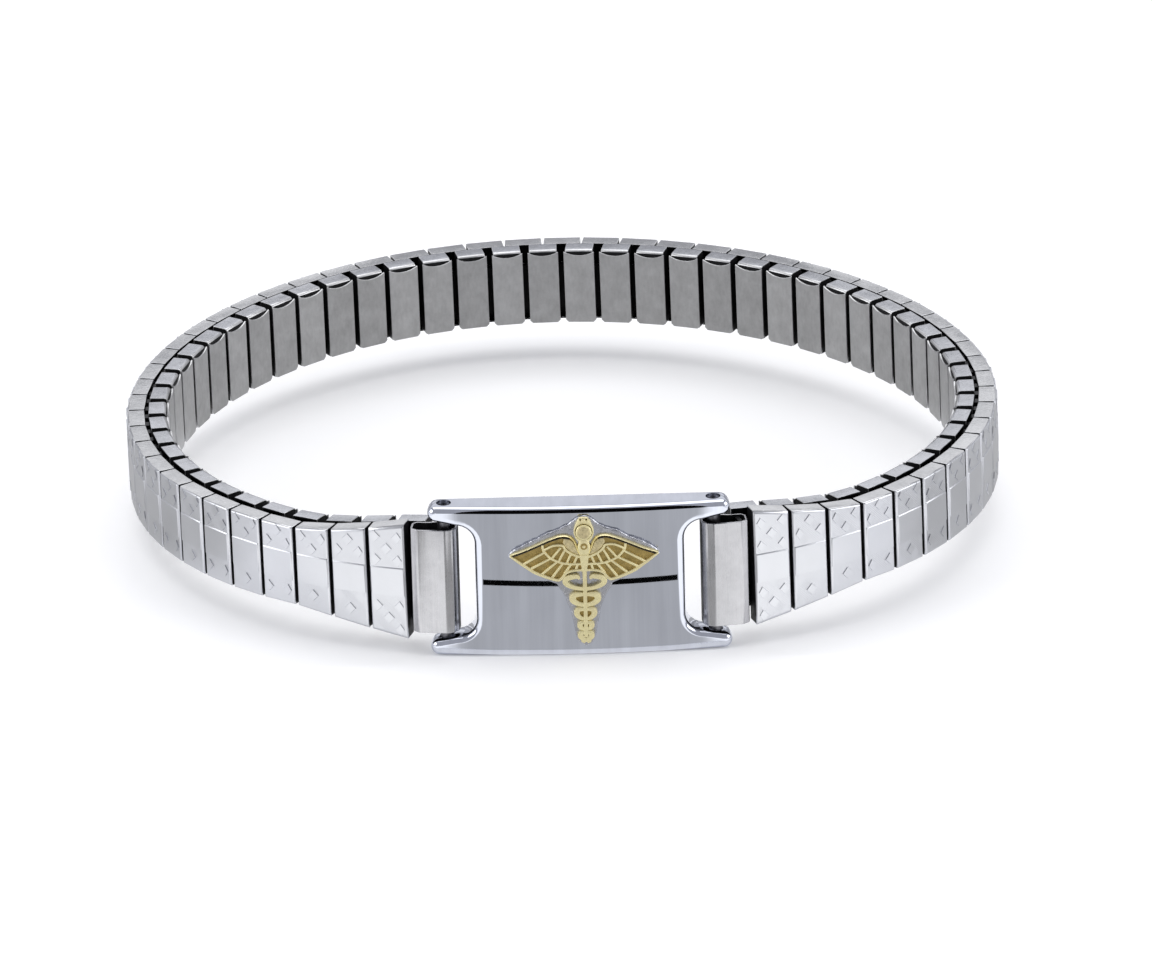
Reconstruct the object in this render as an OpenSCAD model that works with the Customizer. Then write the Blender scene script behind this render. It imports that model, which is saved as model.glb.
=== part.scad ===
// Medical alert bracelet: a steel identity plate with a raised gold caduceus,
// on a spring expansion band of two staggered rows of hollow steel links.
// It lies on its edge: the loop stands round the vertical axis, Z is up,
// and the origin is below the middle of the loop, on the surface it rests on.

/* [Band] */
// Number of links in the outer row
link_count = 56; // [40:2:72]
// Distance from one joint to the next along the band's middle line
link_pitch = 2.65; // [2.4:0.05:3.2]
// Height of the outer links, which is the width of the band
band_h = 5.7; // [5:0.1:7]
// Height of the band where it meets the plate
band_end_h = 8.4; // [7.6:0.1:9]
// Number of links over which the band widens towards the plate
flare_links = 3; // [2:1:6]
// Room between two links of the outer row on the middle line
link_gap = 0.1; // [0.08:0.01:0.2]
// Room between the outer and the inner row
row_gap = 0.55; // [0.45:0.05:0.8]

/* [Outer links] */
// Depth of an outer link from its back to its raised panel
outer_depth = 1.15; // [1:0.05:1.4]
// Height of the plain panel in the middle of an outer link
panel_h = 2.15; // [1.5:0.05:2.6]
// How far the panel stands out of the patterned faces above and below
panel_rise = 0.06; // [0.03:0.01:0.12]
// Thickness of an outer link's front
outer_face = 0.2; // [0.15:0.01:0.25]
// Sheet thickness of the links' sides and backs
link_wall = 0.12; // [0.08:0.01:0.14]

/* [Inner links] */
// Depth of an inner link's body
inner_depth = 1.1; // [1:0.05:1.4]
// Width of an inner link's body and cap
inner_w = 1.95; // [1.9:0.05:2]
// Width of the plate on an inner link, next to the wrist
skin_w = 2.15; // [2:0.05:2.2]
// Thickness of that plate
skin_t = 0.15; // [0.1:0.01:0.2]
// Height of an inner link
inner_h = 5.45; // [4.8:0.05:6]
// Height of the inner link that is next to the plate
inner_end_h = 7.4; // [6.6:0.1:7.6]
// How much higher than the outer row the inner row sits
inner_rise = 0.25; // [0:0.05:0.3]
// Thickness of an inner link's cap
cap_t = 0.25; // [0.2:0.01:0.35]

/* [Staples] */
// Width of a staple's bridge between the rows
bridge_w = 0.6; // [0.5:0.05:0.7]
// Thickness of a staple's bridge
bridge_t = 0.3; // [0.2:0.02:0.36]
// Width of a staple's wire along the band
wire_w = 0.28; // [0.2:0.02:0.3]
// Depth of a staple's wire across the band
wire_d = 0.4; // [0.3:0.05:0.45]
// Room round a staple inside a link
staple_play = 0.1; // [0.08:0.01:0.14]

/* [Plate] */
// Length of the identity plate
plate_w = 20.2; // [17:0.1:24]
// Height of the identity plate
plate_h = 10.8; // [10.4:0.1:13]
// Thickness of the identity plate at its middle
plate_t = 2.2; // [2:0.1:3]
// Radius of the plate's front, seen from above
plate_bow = 90; // [60:5:200]
// Radius of the plate's corners, seen from the front
plate_corner = 0.7; // [0.4:0.05:1]
// Radius of the plate's back corners, seen from above
plate_back_corner = 0.9; // [0.5:0.05:1]
// Height of the window at each end of the plate
window_h = 8.1; // [7.9:0.1:9]
// How much each lug thins towards its tip
lug_taper = 0.25; // [0:0.05:0.3]
// Depth of the window from the end of the plate
window_d = 3.1; // [3:0.05:3.8]
// Radius of the window's inner corners
window_corner = 1.3; // [0.6:0.05:1.5]
// Diameter of the pin that holds an end link
pin_d = 0.9; // [0.7:0.05:1]
// Room round the pin in its holes
pin_play = 0.05; // [0.04:0.01:0.1]
// Distance of the pin from the end of the plate
pin_inset = 1.1; // [1:0.05:1.4]
// Distance of the pin from the plate's front
pin_depth = 1.45; // [1.2:0.05:1.8]
// How far the pin's ends lie below the plate's edges
pin_recess = 0.3; // [0.1:0.05:0.6]

/* [End links] */
// Height of an end link
end_link_h = 7.5; // [6.8:0.1:7.8]
// Distance from the pin to the first joint of the band, along the plate
joint_reach = 2.2; // [2.15:0.05:2.6]
// Lean of an end link towards the band, in degrees
end_lean = 8; // [6:1:10]
// Distance of an end link's middle from the band's middle line, at the joint
end_offset = 0.6; // [0.5:0.05:0.7]
// Sheet thickness of an end link
end_wall = 0.16; // [0.12:0.01:0.2]
// Depth of an end link in front of the pin
end_front = 0.95; // [0.8:0.05:1.1]
// Depth of an end link behind the pin
end_back = 0.72; // [0.66:0.02:0.76]
// Length of an end link from the pin towards the plate
end_heel = 0.9; // [0.75:0.05:1]
// Room for a staple's bridge in an end link's slots, above and below
end_slot_play = 0.3; // [0.25:0.05:0.5]
// Distance of an end link's outer side from the joint it leads to
end_toe_gap = 0.18; // [0.18:0.01:0.24]

/* [Emblem] */
// Width of the emblem over the wing tips
emblem_w = 10; // [8:0.1:11]
// Height of the emblem
emblem_h = 9.2; // [8:0.1:9.6]
// Thickness of the emblem at its wing floors
emblem_floor = 0.26; // [0.2:0.02:0.4]
// Height of the emblem's ribs and rims over the floors
emblem_relief = 0.24; // [0.15:0.01:0.4]
// Width of the feather ribs
rib_w = 0.12; // [0.1:0.01:0.14]
// Thickness of the bed of solder under the emblem
solder_t = 0.14; // [0.1:0.02:0.3]
// How far the emblem sits to the right of the plate's middle
emblem_shift = 0.3; // [-0.5:0.1:0.5]
// Gap that is kept between the emblem and its solder
solder_play = 0.05; // [0.03:0.01:0.1]

/* [Loop] */
// Share by which the loop is wider than deep
loop_oval = 0.047; // [0:0.005:0.08]
// Share by which the loop is fuller beside the plate than at the back
loop_pear = 0.02; // [0:0.005:0.03]
// Share by which the loop's four diagonals are drawn in or let out
loop_square = 0.003; // [0:0.001:0.01]
// How far the back of the loop lies to the left of the plate
loop_sway = 2; // [0:0.1:4]
// Turn of the whole band on its pins, left side down, in degrees
band_tilt = 0.8; // [0:0.1:1]

/* [Hidden] */

STEEL = "#b9bbc2";
GOLD = "#d8c283";
eps = 0.02;
fine = 48;

// Working depths on each side of the band's middle line, outwards and inwards
outer_near = row_gap / 2;
outer_far = outer_near + outer_depth;
inner_near = row_gap / 2;
inner_far = inner_near + inner_depth;
link_w = link_pitch - link_gap;
link_bevel_w = 0.17;
link_bevel_d = 0.5;
panel_bevel_w = 0.3;
panel_bevel_d = 0.3;
skin_drop = 0.3;
skin_corner = 0.2;

// The curve of the loop is an oval in polar form, drawn to the one size at
// which the links fill it from one end of the plate to the other.
curve_steps = 240;
solve_steps = 18;
joint_x = plate_w / 2 - pin_inset + joint_reach;

function oval_share(a) =
    1 + loop_oval * cos(2 * a) - loop_pear * sin(3 * a) - loop_square * cos(4 * a);
function oval_at(a, r) =
    [r * oval_share(a) * cos(a) - loop_sway * (1 + sin(a)) / 2, r * oval_share(a) * sin(a)];
function right_start(r, lo = -88, hi = -10, n = solve_steps) =
    let (m = (lo + hi) / 2)
    n == 0 ? m : oval_at(m, r).x > joint_x ? right_start(r, lo, m, n - 1) : right_start(r, m, hi, n - 1);
function left_end(r, lo = 190, hi = 268, n = solve_steps) =
    let (m = (lo + hi) / 2)
    n == 0 ? m : oval_at(m, r).x > -joint_x ? left_end(r, lo, m, n - 1) : left_end(r, m, hi, n - 1);
function curve_angles(r) =
    let (from = right_start(r), to = left_end(r))
    [for (i = [0 : curve_steps]) from + i / curve_steps * (to - from)];
function running(p) =
    [for (i = 0, s = 0; i < len(p); s = s + (i + 1 < len(p) ? norm(p[i + 1] - p[i]) : 0), i = i + 1) s];
function curve_length(r) = running([for (a = curve_angles(r)) oval_at(a, r)])[curve_steps];
function fitted_r(lo, hi, n = solve_steps) =
    let (m = (lo + hi) / 2)
    n == 0 ? m : curve_length(m) > link_count * link_pitch ? fitted_r(lo, m, n - 1) : fitted_r(m, hi, n - 1);

loop_r = fitted_r(link_count * link_pitch / 8, link_count * link_pitch / 4);
loop_angles = curve_angles(loop_r);
loop_runs = running([for (a = loop_angles) oval_at(a, loop_r)]);
loop_table = [for (i = [0 : curve_steps]) [loop_runs[i], loop_angles[i]]];

// A place on the middle line is given in pitches from the right-hand joint;
// past either end the line goes straight on.
function on_curve(s) = oval_at(lookup(s * link_pitch, loop_table), loop_r);
function heading(s) =
    let (c = max(0.05, min(link_count - 0.05, s)), d = on_curve(c + 0.05) - on_curve(c - 0.05))
    atan2(d.y, d.x);
function direction(s) = [cos(heading(s)), sin(heading(s))];
function middle_at(s) =
    s < 0 ? on_curve(0) + s * link_pitch * direction(0)
    : s > link_count ? on_curve(link_count) + (s - link_count) * link_pitch * direction(link_count)
    : on_curve(s);
function from_end(s) = max(0, min(s, link_count - s));
function flare(s) = pow(max(0, 1 - from_end(s) / flare_links), 1.22);
function outer_half(s) = (band_h + (band_end_h - band_h) * flare(s)) / 2;
function inner_half(s) = (inner_h + (inner_end_h - inner_h) * flare(s)) / 2;

// Staples stand a quarter of a pitch to each side of a joint; one past the
// last joint is as tall as its neighbour on the other side of that joint.
function folded_back(s) = s < 0 ? -s : s > link_count ? 2 * link_count - s : s;
function least(s, values) = min([for (d = [-0.12, 0.12]) values == "outer" ? outer_half(s + d) : inner_half(s + d)]);
function staple_side(s, side) =
    let (at = folded_back(s))
    min(least(at, "outer") - link_wall,
        least(at, "inner") + side * inner_rise - (side > 0 ? cap_t : link_wall)) - staple_play;
function staple_top(s) = staple_side(s, 1);
function staple_low(s) = -staple_side(s, -1);
outer_leg = outer_near + link_wall + (outer_depth - link_wall - outer_face - panel_rise) / 2;
inner_leg = inner_near + link_wall + (inner_depth - link_wall) / 2;

// The pins, the plate and the end links follow from the joints at the ends
end_joint = middle_at(0);
end_heading = heading(0);
toe = end_joint + end_offset * [sin(end_heading), -cos(end_heading)];
pin_x = plate_w / 2 - pin_inset;
pin_y = toe.y - (toe.x - pin_x) * tan(end_lean);
front_y = pin_y - pin_depth;
toe_far = norm(toe - [pin_x, pin_y]) - end_toe_gap;

// The whole is moved so that the origin lies below the middle of its box
function link_corner(i, side) =
    let (p = (middle_at(i) + middle_at(i + 1)) / 2, d = direction(i + 0.5))
    [p + side * (link_w / 2 - link_bevel_w) * d + (outer_far - panel_rise) * [d.y, -d.x],
     p + side * (link_w / 2) * d + (outer_far - panel_rise - link_bevel_d) * [d.y, -d.x],
     p + side * (link_w / 2 - panel_bevel_w) * d + outer_far * [d.y, -d.x]];
rim_points = [for (i = [0 : link_count - 1], side = [-1, 1], p = link_corner(i, side)) p];
rim_x = [for (p = rim_points) p.x];
rim_y = [for (p = rim_points) p.y];
emblem_top_y = front_y - solder_t - solder_play - emblem_floor - emblem_relief;
middle_x = (min(rim_x) + max(rim_x)) / 2;
middle_y = (min(min(rim_y), emblem_top_y) + max(rim_y)) / 2;

module in_place() translate([-middle_x, -middle_y, plate_h / 2]) children();

// The band hangs on its pins with a little play, so it leans in the plate's plane
module band_in_place() in_place() rotate([0, -band_tilt, 0]) children();

module along_band(s, p) translate([p.x, p.y, 0]) rotate([0, 0, heading(s)]) children();

// Stands a flat outline up to face -Y, between two depths
module upright(near, far) translate([0, far, 0]) rotate([90, 0, 0]) linear_extrude(far - near) children();

// An outline of four sides whose top and bottom may slope
module sloped(half_w, low_a, low_b, top_a, top_b)
    polygon([[-half_w, low_a], [half_w, low_b], [half_w, top_b], [-half_w, top_a]]);

// Plan of a link's front half: sides that draw in towards the front
module drawn_in(w, near, far, bevel_w, bevel_d)
    polygon([[-w / 2, -near], [-w / 2, -far + bevel_d], [-w / 2 + bevel_w, -far],
        [w / 2 - bevel_w, -far], [w / 2, -far + bevel_d], [w / 2, -near]]);

module outer_link(i) {
    a = outer_half(i);
    b = outer_half(i + 1);
    hollow = link_w / 2 - link_wall - 0.03;
    slot_top = min(staple_top(i + 0.25), staple_top(i + 0.75)) - bridge_t - staple_play;
    slot_low = max(staple_low(i + 0.25), staple_low(i + 0.75)) + bridge_t + staple_play;
    face = outer_far - panel_rise;
    difference() {
        union() {
            intersection() {
                translate([0, 0, -band_end_h]) linear_extrude(2 * band_end_h)
                    drawn_in(link_w, outer_near, face, link_bevel_w, link_bevel_d);
                upright(-outer_far, 0) sloped(link_w, -a, -b, a, b);
            }
            translate([0, 0, -panel_h / 2]) linear_extrude(panel_h)
                drawn_in(link_w - 0.1, face - 0.4, outer_far, panel_bevel_w - 0.05, panel_bevel_d);
        }
        upright(-face + outer_face, -outer_near - link_wall)
            sloped(hollow, -a + link_wall, -b + link_wall, a - link_wall, b - link_wall);
        upright(-outer_near - link_wall - eps, -outer_near + eps)
            sloped(hollow, slot_top, slot_top, a - link_wall, b - link_wall);
        upright(-outer_near - link_wall - eps, -outer_near + eps)
            sloped(hollow, -a + link_wall, -b + link_wall, slot_low, slot_low);
    }
}

module inner_link(j) {
    span = inner_w / 2 / link_pitch;
    a = inner_half(j - span);
    b = inner_half(j + span);
    hollow = inner_w / 2 - link_wall + 0.03;
    slot_top = min(staple_top(j - 0.25), staple_top(j + 0.25)) - bridge_t - staple_play;
    slot_low = max(staple_low(j - 0.25), staple_low(j + 0.25)) + bridge_t + staple_play;
    translate([0, 0, inner_rise]) difference() {
        union() {
            upright(inner_near, inner_far) sloped(inner_w / 2, -a, -b, a, b);
            upright(inner_far - eps, inner_far + skin_t)
                polygon([[-skin_w / 2, -a + skin_corner], [-skin_w / 2 + skin_corner, -a],
                    [skin_w / 2 - skin_corner, -b], [skin_w / 2, -b + skin_corner],
                    [skin_w / 2, b - skin_drop], [-skin_w / 2, a - skin_drop]]);
        }
        upright(inner_near + link_wall, inner_far)
            sloped(hollow, -a + link_wall, -b + link_wall, a - cap_t, b - cap_t);
        upright(inner_near - eps, inner_near + link_wall + eps)
            sloped(hollow, slot_top - inner_rise, slot_top - inner_rise, a - cap_t, b - cap_t);
        upright(inner_near - eps, inner_near + link_wall + eps)
            sloped(hollow, -a + link_wall, -b + link_wall, slot_low - inner_rise, slot_low - inner_rise);
    }
}

// A closed ring of flat wire through one outer and one inner link
module staple(s) {
    top = staple_top(s);
    low = staple_low(s);
    difference() {
        translate([-wire_w / 2, -outer_leg - wire_d / 2, low])
            cube([wire_w, outer_leg + inner_leg + wire_d, top - low]);
        translate([-wire_w, -outer_leg + wire_d / 2, low + bridge_t])
            cube([2 * wire_w, outer_leg + inner_leg - wire_d, top - low - 2 * bridge_t]);
    }
    for (z = [low, top - bridge_t])
        translate([-bridge_w / 2, -outer_near + staple_play, z])
            cube([bridge_w, outer_near + inner_near - 2 * staple_play, bridge_t]);
}

module outer_links() color(STEEL) band_in_place()
    for (i = [0 : link_count - 1])
        along_band(i + 0.5, (middle_at(i) + middle_at(i + 1)) / 2) outer_link(i);

module inner_links() color(STEEL) band_in_place()
    for (j = [0 : link_count]) along_band(j, middle_at(j)) inner_link(j);

module staples() color("#9b9da4") band_in_place()
    for (j = [0 : link_count], side = [-0.25, 0.25])
        along_band(j + side, middle_at(j + side)) staple(j + side);

// A rectangle with round corners, made of true arcs
module rounded(w, h, r) {
    square([w - 2 * r, h], center = true);
    square([w, h - 2 * r], center = true);
    for (x = [-1, 1], y = [-1, 1])
        translate([x * (w / 2 - r), y * (h / 2 - r)]) circle(r, $fn = fine);
}

// Plan of the plate: a bowed front and round back corners
module plate_plan() {
    intersection() {
        translate([0, plate_bow]) circle(plate_bow, $fn = 4 * fine);
        union() {
            translate([-plate_w / 2, -eps]) square([plate_w, plate_t - plate_back_corner + eps]);
            translate([-plate_w / 2 + plate_back_corner, 0])
                square([plate_w - 2 * plate_back_corner, plate_t]);
            for (x = [-1, 1])
                translate([x * (plate_w / 2 - plate_back_corner), plate_t - plate_back_corner])
                    circle(plate_back_corner, $fn = fine);
        }
    }
}

// The open-ended windows, seen from the front; they widen towards the ends
module plate_windows()
    for (x = [-1, 1]) translate([x * plate_w / 2, 0]) {
        rounded(2 * window_d, window_h, window_corner);
        polygon([for (c = [[window_d - window_corner, 0], [0, lug_taper], [-1, lug_taper]], z = [-1, 1])
            [-x * c.x, z * (window_h / 2 + c.y)]], [[0, 2, 4, 5, 3, 1]]);
    }

module id_plate() color(STEEL) in_place() {
    union() {
        difference() {
            intersection() {
                translate([0, front_y, -plate_h / 2]) linear_extrude(plate_h) plate_plan();
                upright(front_y - 1, front_y + plate_t + 1) rounded(plate_w, plate_h, plate_corner);
            }
            upright(front_y - 1, front_y + plate_t + 1) plate_windows();
            for (x = [-1, 1]) translate([x * pin_x, pin_y, -plate_h])
                cylinder(h = 2 * plate_h, d = pin_d + 2 * pin_play, $fn = fine);
        }
        solder_bed();
    }
}

module pin(side) color("#8f9097") in_place()
    translate([side * pin_x, pin_y, -plate_h / 2 + pin_recess])
        cylinder(h = plate_h - 2 * pin_recess, d = pin_d, $fn = fine);

module pin_left() pin(-1);
module pin_right() pin(1);

// Plan of an end link's folded sheet; the pin is at its origin
module end_plan(inset) {
    heel = end_heel - inset;
    toe_x = toe_far - inset;
    front = end_front - inset;
    back = end_back - inset;
    polygon([[-heel, -front + 0.6], [-heel + 0.3, -front + 0.2], [-heel + 0.75, -front],
        [toe_x - 0.45, -front], [toe_x, -front + 0.3],
        [toe_x, back - 0.48], [toe_x - 0.3, back - 0.18], [1.15, back - 0.18], [0.55, back],
        [-heel + 0.3, back], [-heel, back - 0.3]]);
}

module end_link_shell() {
    slot_x = (toe_far - end_wall) - 0.95;
    slot_top = staple_top(-0.25) - bridge_t - end_slot_play;
    slot_low = staple_low(-0.25) + bridge_t + end_slot_play;
    difference() {
        translate([0, 0, -end_link_h / 2]) linear_extrude(end_link_h) end_plan(0);
        translate([0, 0, -end_link_h]) linear_extrude(2 * end_link_h) end_plan(end_wall);
        translate([slot_x, 0, slot_top]) cube([2, 2 * end_back, end_link_h]);
        translate([slot_x, 0, slot_low - end_link_h]) cube([2, 2 * end_back, end_link_h]);
    }
}

module end_link_right() color(STEEL) in_place()
    translate([pin_x, pin_y, 0]) rotate([0, 0, end_lean]) end_link_shell();

module end_link_left() color(STEEL) in_place()
    translate([-pin_x, pin_y, 0]) mirror([1, 0, 0]) rotate([0, 0, end_lean]) end_link_shell();

// The emblem's right half, as shares of its width and height from its middle:
// x is 0.5 at the wing tip, and z runs from -0.5 at the foot to 0.5 at the top.
LEAD = [[0.03, 0.21], [0.05, 0.266], [0.065, 0.315], [0.095, 0.348], [0.14, 0.359], [0.21, 0.342],
    [0.3, 0.304], [0.4, 0.256], [0.495, 0.212]];
TRAIL = [[0.495, 0.212], [0.43, 0.163], [0.39, 0.136], [0.33, 0.087], [0.27, 0.054], [0.22, 0.033],
    [0.175, 0.011], [0.14, 0.027], [0.1, 0.065], [0.06, 0.082], [0.01, 0.082]];
MIDRIB = [[0.01, 0.13], [0.06, 0.136], [0.12, 0.147], [0.18, 0.168], [0.23, 0.212], [0.27, 0.261]];
LOBE = [[0.015, 0.19], [0.045, 0.196], [0.08, 0.217], [0.115, 0.255], [0.145, 0.288], [0.165, 0.31]];
SOLDER = [[0, 0.515], [0.05, 0.5], [0.11, 0.446], [0.2, 0.408], [0.3, 0.353], [0.4, 0.304],
    [0.49, 0.239], [0.512, 0.207], [0.47, 0.168], [0.36, 0.078], [0.25, 0.01], [0.19, -0.02],
    [0.16, -0.076], [0.125, -0.141], [0.1, -0.239], [0.078, -0.348], [0.07, -0.424], [0.05, -0.489],
    [0, -0.516]];
FEATHERS = 7;
SHORT_FEATHERS = 5;
// The snakes cross the staff in five bends; each row of the table is one bend:
// [half width, top, bottom, half width of its hollow, top and bottom of its hollow]
BENDS = [[0.147, 0.047, -0.078, 0.112, 0.018, -0.049], [0.107, -0.103, -0.207, 0.073, -0.125, -0.179],
    [0.076, -0.212, -0.314, 0.045, -0.237, -0.287], [0.058, -0.324, -0.395, 0.028, -0.341, -0.37],
    [0.056, -0.402, -0.473, 0.026, -0.422, -0.444]];
// A bend's outline, from the middle of its top round to the middle of its
// bottom, as shares of its half width and of its height down from its top
BEND = [[0, 0], [0.62, 0], [0.88, 0.1], [1, 0.36], [0.92, 0.6], [0.66, 0.82], [0.34, 0.95], [0, 1]];
staff_w = 0.27;
knob_z = 0.38 * emblem_h;
knob_r = 0.54;
knob_groove = 0.06;
boss_z = 0.272 * emblem_h;

function drawn(share) = [share.x * emblem_w, share.y * emblem_h];
function path(shares) = [for (p = shares) drawn(p)];
function side_of(p, i) =
    let (d = p[min(i + 1, len(p) - 1)] - p[max(i - 1, 0)]) [-d.y, d.x] / norm(d);
// A band of even width that follows a path
function strip(p, w) = concat(
    [for (i = [0 : len(p) - 1]) p[i] + side_of(p, i) * w / 2],
    [for (i = [len(p) - 1 : -1 : 0]) p[i] - side_of(p, i) * w / 2]);
// The point at a share of the way along a path of even steps
function along(p, t) =
    let (k = min(floor(t * (len(p) - 1)), len(p) - 2), f = t * (len(p) - 1) - k)
    p[k] * (1 - f) + p[k + 1] * f;
function bend_outline(w, top, bottom) = concat(
    [for (b = BEND) drawn([w * b.x, top + (bottom - top) * b.y])],
    [for (i = [len(BEND) - 2 : -1 : 1]) drawn([-w * BEND[i].x, top + (bottom - top) * BEND[i].y])]);

module both_sides() {
    children();
    mirror([1, 0]) children();
}

// A flat layer of the emblem or its solder, between two depths
module layer(near, far) translate([emblem_shift, 0, 0]) upright(near, far) children();

module solder_bed() layer(front_y - solder_t, front_y + 0.6) both_sides() polygon(path(SOLDER));

module bend_ring(b) difference() {
    polygon(bend_outline(b[0], b[1], b[2]));
    polygon(bend_outline(b[3], b[4], b[5]));
}

// The two snakes' heads turn in towards the staff above the widest bend
module heads() both_sides() polygon(path([[0.03, 0.018], [0.045, 0.036], [0.08, 0.03], [0.06, 0.006]]));

module staff() {
    foot = BENDS[len(BENDS) - 1][2];
    half = staff_w / 2 / emblem_w;
    both_sides() polygon(path([[-0.005, 0.2], [0.026, 0.2], [0.022, 0.15], [half, 0.07],
        [half, foot + 0.02], [-0.005, foot + 0.02]]));
    both_sides() polygon(path([[-0.004, foot + 0.03], [0.036, foot + 0.03], [0.032, -0.49],
        [0.012, -0.5], [-0.004, -0.48]]));
}

module neck() both_sides() polygon(path([[-0.005, 0.33], [0.03, 0.33], [0.044, 0.272],
    [0.03, 0.2], [-0.005, 0.19]]));

module knob_frame() both_sides() polygon(path([[-0.005, 0.5], [0.024, 0.5], [0.046, 0.468], [0.066, 0.4],
    [0.066, 0.362], [0.048, 0.318], [0.03, 0.3], [-0.005, 0.3]]));

module wing_floor() polygon(path(concat(LEAD, [for (i = [1 : len(TRAIL) - 1]) TRAIL[i]])));

module wing_ribs() {
    polygon(strip(path(LEAD), 1.8 * rib_w));
    polygon(strip(path(TRAIL), 1.4 * rib_w));
    polygon(strip(path(MIDRIB), rib_w));
    polygon(strip(path(LOBE), rib_w));
    tips = [for (i = [2 : 9]) TRAIL[i]];
    for (k = [0 : FEATHERS - 1]) {
        t = k / (FEATHERS - 1);
        polygon(strip([along(path(MIDRIB), 0.97 - 0.87 * t), along(path(tips), t)], rib_w));
    }
    for (k = [0 : SHORT_FEATHERS - 1]) {
        t = k / (SHORT_FEATHERS - 1);
        polygon(strip([along(path(LOBE), 0.28 + 0.6 * t), along(path(MIDRIB), 0.22 + 0.58 * t)], rib_w));
    }
}

module emblem() color(GOLD) in_place() {
    back = front_y - solder_t - solder_play;
    shoulder = back - emblem_floor;
    crest = shoulder - emblem_relief;
    union() {
        layer(shoulder, back) {
            both_sides() wing_floor();
            knob_frame();
            for (i = [1 : len(BENDS) - 1]) polygon(bend_outline(BENDS[i][0], BENDS[i][1], BENDS[i][2]));
        }
        layer(crest, back) {
            both_sides() wing_ribs();
            for (b = BENDS) bend_ring(b);
            heads();
            staff();
            neck();
            difference() {
                knob_frame();
                translate([0, knob_z]) circle(knob_r + knob_groove, $fn = fine);
            }
        }
        translate([emblem_shift, back, knob_z]) rotate([90, 0, 0])
            cylinder(h = back - crest + 0.03, r = knob_r, $fn = fine);
        translate([emblem_shift, back, boss_z]) rotate([90, 0, 0])
            cylinder(h = back - crest + 0.08, r = 0.2, $fn = fine);
    }
}

id_plate();
emblem();
pin_left();
pin_right();
end_link_left();
end_link_right();
outer_links();
inner_links();
staples();
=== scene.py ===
"""Medical alert bracelet: steel identity plate with a raised gold caduceus on a
spring expansion band of two staggered rows of hollow links. Lengths in metres."""
import math

import bpy
from mathutils import Matrix, Vector


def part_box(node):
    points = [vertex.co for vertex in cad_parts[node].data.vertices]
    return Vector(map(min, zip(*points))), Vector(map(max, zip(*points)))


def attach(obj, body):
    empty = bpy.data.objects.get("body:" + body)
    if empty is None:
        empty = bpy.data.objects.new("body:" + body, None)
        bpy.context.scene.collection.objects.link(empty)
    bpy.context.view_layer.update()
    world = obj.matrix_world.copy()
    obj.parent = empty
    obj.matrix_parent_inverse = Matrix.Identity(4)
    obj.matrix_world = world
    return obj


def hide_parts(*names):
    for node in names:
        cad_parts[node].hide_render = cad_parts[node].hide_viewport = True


bl_info = {
    "name": "Medical Alert Bracelet",
    "version": (1, 0, 0),
    "blender": (4, 5, 0),
    "location": "View3D > Sidebar > Bracelet",
    "description": "Models the plate, emblem, end links and expansion band round the packed CAD part",
    "category": "Add Mesh",
}

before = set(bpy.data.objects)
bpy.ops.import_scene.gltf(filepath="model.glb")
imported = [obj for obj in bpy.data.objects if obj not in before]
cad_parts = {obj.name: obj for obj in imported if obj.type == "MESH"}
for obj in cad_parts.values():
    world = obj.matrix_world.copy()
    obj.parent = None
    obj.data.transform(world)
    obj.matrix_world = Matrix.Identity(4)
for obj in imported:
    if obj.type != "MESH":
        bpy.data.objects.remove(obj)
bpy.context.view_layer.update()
PLATE_LOW, PLATE_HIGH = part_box("id_plate")

MM = 0.001
# Measures nearer than this count as the same
TINY = 1e-7
# The share of an axis in a face's normal that makes it look that way, and squarely that way
FACING = 0.9
SQUARE = 0.97
# Stands a flat drawing upright, with its height towards the front
UPRIGHT = Matrix(((1, 0, 0, 0), (0, 0, -1, 0), (0, 1, 0, 0), (0, 0, 0, 1)))
# Bearings of the photograph's camera: where it aims, how far it stands and how it leans
CAMERA_TARGET = Vector((0.82, 4.374, -1.269)) * MM
CAMERA_DISTANCE = 966.62 * MM
CAMERA_ELEVATION = 0.4094
CAMERA_ROLL = 0.0261
CAMERA_LENS = 437.5
CAMERA_SENSOR = 36.0

# Lines of the emblem, as shares of its width across and of its height up from its middle
LEAD = [(0.03, 0.21), (0.05, 0.262), (0.065, 0.31), (0.095, 0.343), (0.14, 0.354), (0.21, 0.334),
        (0.3, 0.292), (0.4, 0.244), (0.495, 0.208)]
TRAIL = [(0.495, 0.208), (0.43, 0.152), (0.39, 0.12), (0.336, 0.077), (0.27, 0.043), (0.22, 0.022),
         (0.175, 0.01), (0.148, 0.03), (0.124, 0.064), (0.076, 0.083), (0.01, 0.085)]
MIDRIB = [(0.01, 0.132), (0.05, 0.134), (0.087, 0.134), (0.144, 0.143), (0.18, 0.158), (0.224, 0.183),
          (0.264, 0.232), (0.275, 0.262), (0.276, 0.29)]
COVERT = [(0.02, 0.186), (0.066, 0.205), (0.107, 0.232), (0.13, 0.258), (0.146, 0.283), (0.206, 0.283),
          (0.269, 0.25)]
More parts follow.
